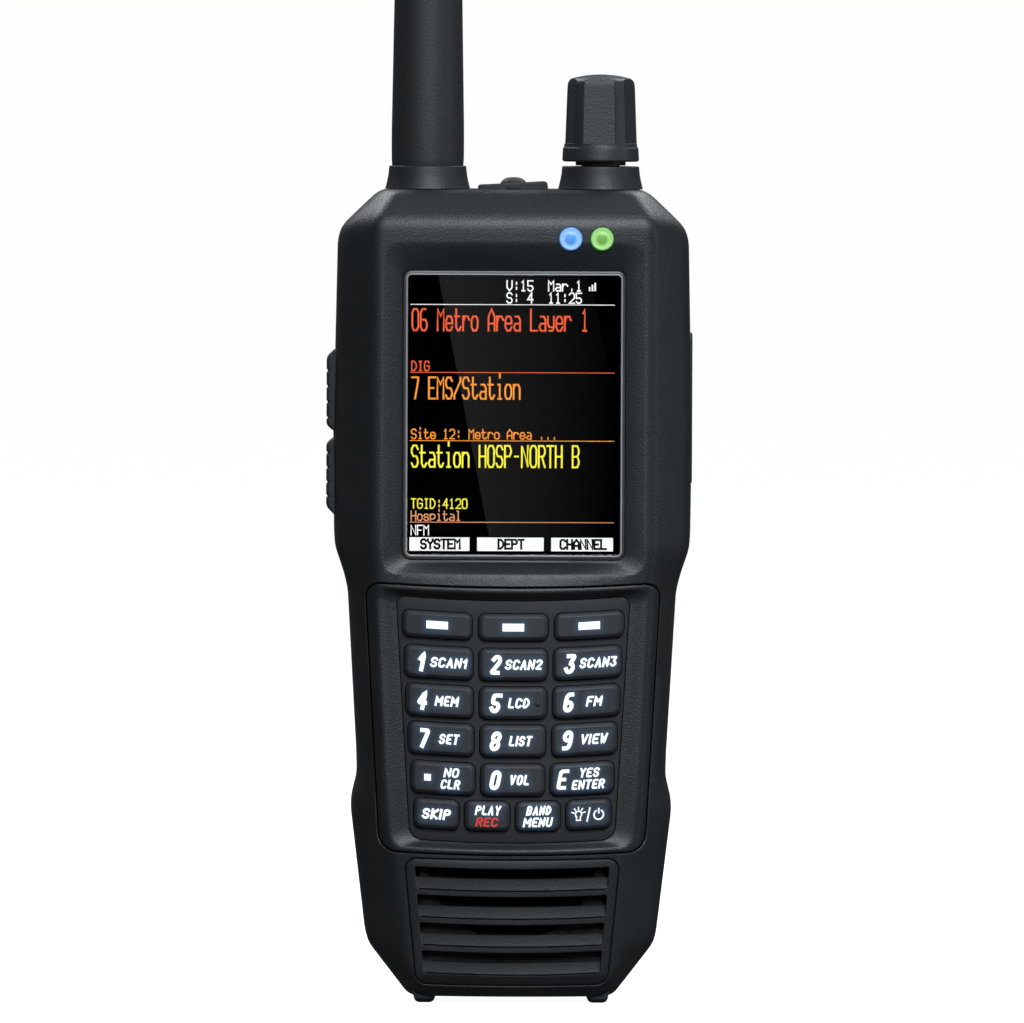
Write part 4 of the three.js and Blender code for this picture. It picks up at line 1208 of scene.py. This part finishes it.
def antenna_whip():
    x = middle_of("antenna_whip")[0]
    high = case_box("antenna_whip")[1].z
    rows = [
        (0, 163, 0), (4.7, 163, 0), (4.7, 154.42, 0), (6.35, 154.42, 0.1), (6.58, 154.55, 0.15),
        (6.68, 155.6, 0.4), (6.72, 160, 3), (4.12, high - 3, 1.5), (3.6, high - 1.0, 1.2), (1.9, high, 1),
        (0, high, 0),
    ]
    made = lathe("whip_sleeve", profile_of(rows, 6), x, TOP_Y, 128)
    return finish_piece(made, LOOKS["antenna_rubber"], "antenna", "antenna_rubber", "antenna_whip")


def knob_angles():
    """Angles round the knob and from its nearest panel's middle, in degrees, with close pairs at the
    edges of its five panels."""
    flat = [-26.6, *np.linspace(-22, 22, 12), 26.6]
    offsets = [-36, -33, -30, -28, -27.05, *flat, 27.05, 28, 30, 33]
    return [(72 * i - 94 + o, o) for i in range(5) for o in offsets]


# Heights of the grip's lower and upper end, with its radius and the distance of its flat panels there.
GRIP_Z, GRIP_RADIUS, PANEL_FOOT = (158.5, 169.75), (6.74, 6.32), 158.75


def volume_knob():
    """A tapered knob with a skirt, a domed top and five flat panels let into its side."""
    x = middle_of("volume_knob")[0]
    outline = profile_of([
        (6.82, 155.5, 0), (7.12, 155.78, 0.15), (7.0, 157.95, 0.1), (6.84, 158.15, 0.1), (6.74, 158.5, 0.3),
        (6.32, 169.75, 0.8), (6.02, 170.55, 0.5), (5.2, 170.98, 0.6), (3.0, 171.45, 1.2), (0.9, 171.62, 0.6),
        (0.4, 171.63, 0),
    ], 4)
    fine = [(float(np.interp(z, GRIP_Z, GRIP_RADIUS)), z) for z in (PANEL_FOOT, PANEL_FOOT + 0.12)]
    for (r0, z0), (r1, z1) in zip(outline, outline[1:]):
        pieces = max(1, int(math.hypot(r1 - r0, z1 - z0) / 0.6))
        fine += [(r0 + (r1 - r0) * k / pieces, z0 + (z1 - z0) * k / pieces) for k in range(pieces)]
    fine.append(outline[-1])
    # The bore and the skirt's underside come first, then the outside from its foot to its top.
    rows = [(3.4, 166.4), (3.4, 154.78), (4.6, 154.78), (4.64, 154.95), (4.64, 155.5)]
    rows += sorted(fine, key=lambda row: row[1])
    loops = []
    for radius, z in rows:
        loop = []
        panel = float(np.interp(z, (*GRIP_Z, 171), (5.86, 5.5, 5.3)))
        for angle, offset in knob_angles():
            reach = radius
            if abs(offset) <= 26.7 and z >= PANEL_FOOT + 0.1:
                reach = min(radius, panel / math.cos(math.radians(offset)))
            turn = math.radians(angle)
            loop.append((x + reach * math.cos(turn), TOP_Y + reach * math.sin(turn), z))
        loops.append(loop)
    made = build("knob_grip", *skin(loops), 24)
    # The knob's lighter rubber is partly painted light.
    return finish_piece(made, LOOKS["knob_rubber"], "knob", "knob_rubber", "volume_knob")


def jack_cover():
    """A rubber cover: a strap, thicker at its hinge, with a round grip, and a plug below."""
    foot = 150.45
    loops = []
    for px, top, half in (
        (-6.55, 0.1, 2.3), (-6.5, 0.45, 2.6), (-6.25, 0.68, 2.8), (-5.6, 0.74, 2.9), (-3.2, 0.86, 2.9),
        (2.8, 1.2, 2.9), (5.4, 1.36, 2.9), (5.95, 1.3, 2.85), (6.2, 1.05, 2.75), (6.3, 0.5, 2.6),
    ):
        corners = [(-half, foot), (half, foot), (half, foot + top), (-half, foot + top)]
        bend = min(0.3, top * 0.45)
        loops.append([(px, TOP_Y + y, z) for y, z in round_corners(corners, [0.05, 0.05, bend, bend], 6, 5)])
    made = solid("jack_strap", loops)
    dome = profile_of([
        (0, 148.8, 0), (1.35, 148.8, 0.2), (1.35, foot + 0.2, 0), (2.5, foot + 0.2, 0),
        (2.5, foot + 0.9, 0.2), (2.2, foot + 1.45, 0.5), (1.5, foot + 1.95, 0.7), (0.7, foot + 2.1, 0.5),
        (0, foot + 2.12, 0),
    ])
    carve(made, [lathe("grip", dome, 0, TOP_Y, 64)], "UNION")
    return finish_piece(made, FLAP, "jack_flap", "cover_rubber", "jack_cover")


collar("antenna_collar", 4.9)
collar("knob_collar", 5.0)
antenna_whip()
volume_knob()
jack_cover()
repaint(BRASS, "antenna_socket", "antenna_nut", "battery_contact")
repaint(STEEL, "encoder_body", "headphone_jack", "clip_pin", "clip_spring")
repaint(BLACK_STEEL, "encoder_shaft")

# ---------------------------------------------------------------- sides


def side_key(node, body, notch_above, grooves):
    """A rubber key in the left wall: a ribbed cap with round edges, on a flange inside the wall."""
    low, high = case_box(node)
    out, inner = low.x, high.x - 0.8
    front, back = low.y + FLANGE, high.y - FLANGE
    lower, upper = (out + 1.5, out + 1.9) if notch_above else (out + 1.9, out + 1.5)
    ends = (
        (front, 0.55), (front + 0.12, 0.25), (front + 0.4, 0.04), (front + 0.9, 0),
        (back - 0.9, 0), (back - 0.4, 0.04), (back - 0.12, 0.25), (back, 0.55),
    )
    loops = []
    for y, inset in ends:
        bottom, top, face = low.z + 0.4 * inset, high.z - 0.4 * inset, out + inset
        corners = [(inner, bottom), (lower, bottom), (face, bottom + 1.5)]
        for z in grooves:
            corners += [(face, z - 0.35), (face + 0.28, z), (face, z + 0.35)]
        corners += [(face, top - 1.5), (upper, top), (inner, top)]
        bends = [0, 0.3, 0.7, *[0.12] * (3 * len(grooves)), 0.7, 0.3, 0]
        loops.append([(px, y, z) for px, z in softened(corners, bends, 4)])
    made = solid(f"{node}_cap", loops)
    carve(made, [grid_box("flange", inner - 0.1, high.x, low.y, high.y, low.z, high.z)], "UNION")
    return finish_piece(made, FLAP, body, "cover_rubber", node)


def port_cover():
    """A rubber flap with a thin lip and a plug behind."""
    low, high = case_box("port_cover")
    outline = plate(high.z, low.z, (high.y - low.y) / 2, (high.y - low.y) / 2, 1.1, 1.1)
    middle = (low.y + high.y) / 2
    out = high.x - 0.22
    rows = [
        (0, 31.6), (0, out - 0.28), (-0.08, out - 0.1), (-0.3, out), (-0.75, out - 0.02), (-0.95, out - 0.2),
    ]
    made = solid("port_flap_lid", [[(px, middle + y, z) for y, z in outline(grow)] for grow, px in rows])
    plug = grid_box("plug", 30.7, 31.8, low.y + 1.6, high.y - 1.6, low.z + 3, low.z + 11)
    carve(made, [plug], "UNION")
    return finish_piece(made, FLAP, "port_flap", "cover_rubber", "port_cover")


side_key("side_key_upper", "side_key_up", False, (107.9, 110.8, 113.7, 116.6))
side_key("side_key_lower", "side_key_down", True, (93.4, 96.0, 98.7, 101.4))
port_cover()
repaint(TIN, "usb_socket", "radio_shield")

# ---------------------------------------------------------------- back

COVER_SEAT = BACK_Y + 0.08


def cover_loop(z, inset):
    """The battery cover's section at a height: a low arch with rounded shoulders."""
    outer = float(np.interp(z, (16, 21, 24, 86, 89, 97), (15.0, 19.0, 19.6, 19.6, 19.3, 15.4)))
    half = min(24.4, along(HALF_WIDTH, z) - REAR_BEVEL - 0.6) - inset
    depth, seat = outer - inset, COVER_SEAT - inset
    edge = min(4.5, max(0.5, depth - seat - 0.4))
    right = [(half, seat), (half, depth - edge), (half - edge, depth)]
    corners = [(-half, seat), *right, (-half + edge, depth), (-half, depth - edge)]
    bends = [0.15] * 2 + [min(1.6, edge * 0.4)] * 4
    return [(px, y, z) for px, y in round_corners(corners, bends, 5, 6)]


def battery_cover():
    heights = np.r_[16, np.linspace(16.4, 24, 12), np.linspace(26, 84, 30), np.linspace(86, 96.6, 14), 97]
    made = solid("cover_shell", [cover_loop(z, 0) for z in heights])
    hollow = [cover_loop(min(max(z, 17.6), 95.4), 1.6) for z in heights[(heights > 17.6) & (heights < 95.4)]]
    tools = [solid("hollow", hollow), grid_box("seat", -60, 60, -10, COVER_SEAT, -10, 200)]
    tools.append(grid_box("latch_hole", -7.15, 7.15, 14, 30, 23.25, 31.35))
    carve(made, tools)
    hook = grid_box("hook", -11, 11, BACK_Y - 0.9, BACK_Y + 2.3, 95.7, 96.7)
    low, high = case_box("clip_bracket")
    pad = grid_box("pad", low.x + 0.4, high.x - 0.4, 19.0, low.y + 0.01, low.z + 0.4, high.z - 0.4)
    carve(made, [hook, pad], "UNION")
    return finish_piece(made, CASE, "rear_cover", "case_plastic", "battery_cover")


def battery_latch():
    """A slider with a ribbed grip, and a wider tongue behind the cover's wall."""
    outer = 19.6
    rows = [(0, outer - 2.6), (0, outer + 0.25), (-0.08, outer + 0.42), (-0.3, outer + 0.5)]
    made = stack("latch_grip", plate(29.4, 23.4, 7, 7, 0.7, 0.7), rows)
    rows = [(0, outer + 0.3), (0, outer + 0.7), (-0.1, outer + 0.85), (-0.25, outer + 0.9)]
    more = []
    for foot in (24.4, 26.2, 28.0):
        more.append(stack("rib", plate(foot + 0.8, foot, 5.5, 5.5, 0.3, 0.3), rows))
    more.append(grid_box("tongue", -8.4, 8.4, outer - 2.8, outer - 2, 22.4, 30.6))
    carve(made, more, "UNION")
    return finish_piece(made, FLAP, "latch", "case_plastic", "battery_latch")


def belt_clip():
    """A sprung blade with round edges and a turned-in foot, hung on the pin by two knuckles."""
    inner, top, bottom = 24.3, 96.0, 38.0
    outer = inner + 1.8
    side = softened([
        (inner, top), (inner, bottom + 9), (inner - 2.2, bottom + 3), (inner - 1.2, bottom),
        (inner + 0.6, bottom - 0.4), (inner - 0.4, bottom + 3), (outer, bottom + 10), (outer, top - 1),
        (outer - 0.6, top),
    ], [0.3, 3, 1.2, 0.4, 0.4, 1.2, 3, 0.5, 0.3], 5, closed=True)
    middle_y = np.mean([y for y, _ in side])
    loops = []
    for px, inset in ((-11, 0.4), (-10.85, 0.15), (-10.5, 0), (10.5, 0), (10.85, 0.15), (11, 0.4)):
        loop = []
        for y, z in side:
            loop.append((px, y + math.copysign(0.5 * inset, middle_y - y), z - math.copysign(inset, z - 67)))
        loops.append(loop)
    made = solid("clip_blade", loops)
    pieces = []
    for x0, x1 in ((-8, -3.4), (3.4, 8)):
        pieces.append(along_x("knuckle", 1.7, x0, x1, PIN_Y, PIN_Z, 40))
        pieces.append(grid_box("web", x0, x1, PIN_Y, inner + 0.5, PIN_Z - 1.6, PIN_Z + 1.6))
    carve(made, pieces, "UNION")
    cuts = [along_x("bore", 1.1, -9, 9, PIN_Y, PIN_Z, 32)]
    for foot in (89.2, 91.1, 93.0):
        cuts.append(grid_box("grip", -7, 7, outer - 0.35, outer + 1, foot, foot + 0.8))
    carve(made, cuts)
    return finish_piece(made, CASE, "clip", "case_plastic", "belt_clip")


battery_cover()
battery_latch()
belt_clip()
repaint(BLACK_STEEL, "clip_bracket")
repaint(LOOKS["battery_wrap"], "battery_pack")

# ---------------------------------------------------------------- floor, lights and camera

DISTANCE, VIEW_WIDTH = 4.0, 0.189
AZIMUTH, ELEVATION, LEAN = math.radians(-1.2), math.radians(1.6), math.radians(0.25)
AIM = Vector((CASE_X_M - 0.0003, CASE_Y_M - 0.014, 0.0910))
OUTWARD = Vector((
    math.sin(AZIMUTH) * math.cos(ELEVATION), -math.cos(AZIMUTH) * math.cos(ELEVATION), math.sin(ELEVATION),
))


def stage_sheet(name, points, look):
    mesh = bpy.data.meshes.new(name)
    mesh.from_pydata(points, [], [tuple(range(len(points)))])
    mesh.materials.append(look)
    made = add_object(name, mesh)
    return made


def set_floor():
    """A very large pale floor that is bright enough to meet the background without a line."""
    white = (1, 1, 1, 1)
    look, shader = material(
        "floor", Roughness=0.9, Specular_IOR_Level=0.1, Emission_Color=white, Emission_Strength=0.96,
    )
    tint(shader, noise(shader, 0.01), (0.40, 0.40, 0.40), (0.42, 0.42, 0.42))
    floor = stage_sheet("floor", [(60, 60, 0), (-60, 60, 0), (-60, -60, 0), (60, -60, 0)], look)
    floor.visible_glossy = False
    floor.visible_diffuse = False
    floor.visible_transmission = False


def set_glare():
    """Two cards in front, which only the display's lens mirrors: a dim one with a slanting edge, which
    fades to the right, and a black one behind it."""
    plain = {"Roughness": 1.0, "Specular IOR Level": 0.0, "Base Color": (0, 0, 0, 1)}
    look, shader = material("glare_card", Emission_Strength=0.19, **plain)
    across = add_node(coordinates(shader, "Generated"), "SeparateXYZ", "Vector").outputs["X"]
    feed(ramp(across, (1, 1, 1), (0.01, 0.01, 0.01), 0.1, 0.85), shader, "Emission Color")
    camera = AIM + OUTWARD * DISTANCE
    lens_y, card_y = CASE_Y_M + GLASS_Y * MM, -1.2
    share = (lens_y - card_y) / (lens_y - camera.y)

    def mirrored(x, z, y=card_y):
        """Where a ray from the camera, mirrored by the lens at x and z, reaches the cards."""
        x, z = CASE_X_M + x * MM, z * MM
        return Vector((x + (x - camera.x) * share, y, z + (z - camera.z) * share))

    upper, lower = mirrored(-14.1, 134.7), mirrored(-4.0, 83.7)
    right = Vector((mirrored(24, 100).x - lower.x, 0, 0))
    card = stage_sheet("glare_card", [lower, lower + right, upper + right, upper], look)
    corners = [mirrored(x, z, card_y - 0.02) for x, z in ((-60, 62), (60, 62), (60, 170), (-60, 170))]
    behind = stage_sheet("dark_card", corners, material("dark_card", **plain)[0])
    for sheet in (card, behind):
        sheet.visible_camera = False
        sheet.visible_diffuse = False
        sheet.visible_shadow = False


def put_at(made, place, turn):
    made.location = place
    made.rotation_mode = "QUATERNION"
    made.rotation_quaternion = turn


def area_light(name, place, size, power):
    """A rectangular lamp turned towards the middle of the case."""
    light = bpy.data.lights.new(name, "AREA")
    light.shape = "RECTANGLE"
    light.size, light.size_y = size
    light.energy = power
    light.color = (0.9, 0.96, 1.0)
    turn = (Vector((0, 0, 0.09)) - Vector(place)).to_track_quat("-Z", "Y")
    put_at(add_object(name, light), place, turn)


def set_lights():
    world = bpy.data.worlds.new("studio")
    bpy.context.scene.world = world
    world.use_nodes = True
    back = world.node_tree.nodes["Background"]
    path = world.node_tree.nodes.new("ShaderNodeLightPath")
    feed(spread(path.outputs["Is Camera Ray"], 0.07, 1.0), back, "Strength")
    set_inputs(back, {"Color": (1, 1, 1, 1)})
    area_light("key", (0.2, -1.0, 0.92), (0.6, 0.4), 16)
    area_light("front", (-0.15, -1.7, 0.6), (0.9, 0.5), 7.5)
    area_light("right", (1.2, -0.35, 0.3), (0.35, 0.5), 1.9)
    area_light("back_left", (-0.6, 0.8, 1.2), (0.6, 0.6), 13)
    area_light("back_right", (0.6, 0.8, 1.2), (0.6, 0.6), 12)


def set_camera():
    """Almost square on, a little above the middle and a little to the left, from far off."""
    lens = bpy.data.cameras.new("camera")
    lens.sensor_width = 36
    lens.lens = lens.sensor_width * DISTANCE / VIEW_WIDTH
    lens.clip_start, lens.clip_end = 0.05, 200
    camera = add_object("camera", lens)
    lean = Matrix.Rotation(LEAN, 3, "Z").to_quaternion()
    put_at(camera, AIM + OUTWARD * DISTANCE, (-OUTWARD).to_track_quat("-Z", "Y") @ lean)
    bpy.context.scene.camera = camera


set_floor()
set_glare()
set_lights()
set_camera()
bpy.context.scene.view_settings.view_transform = "Standard"
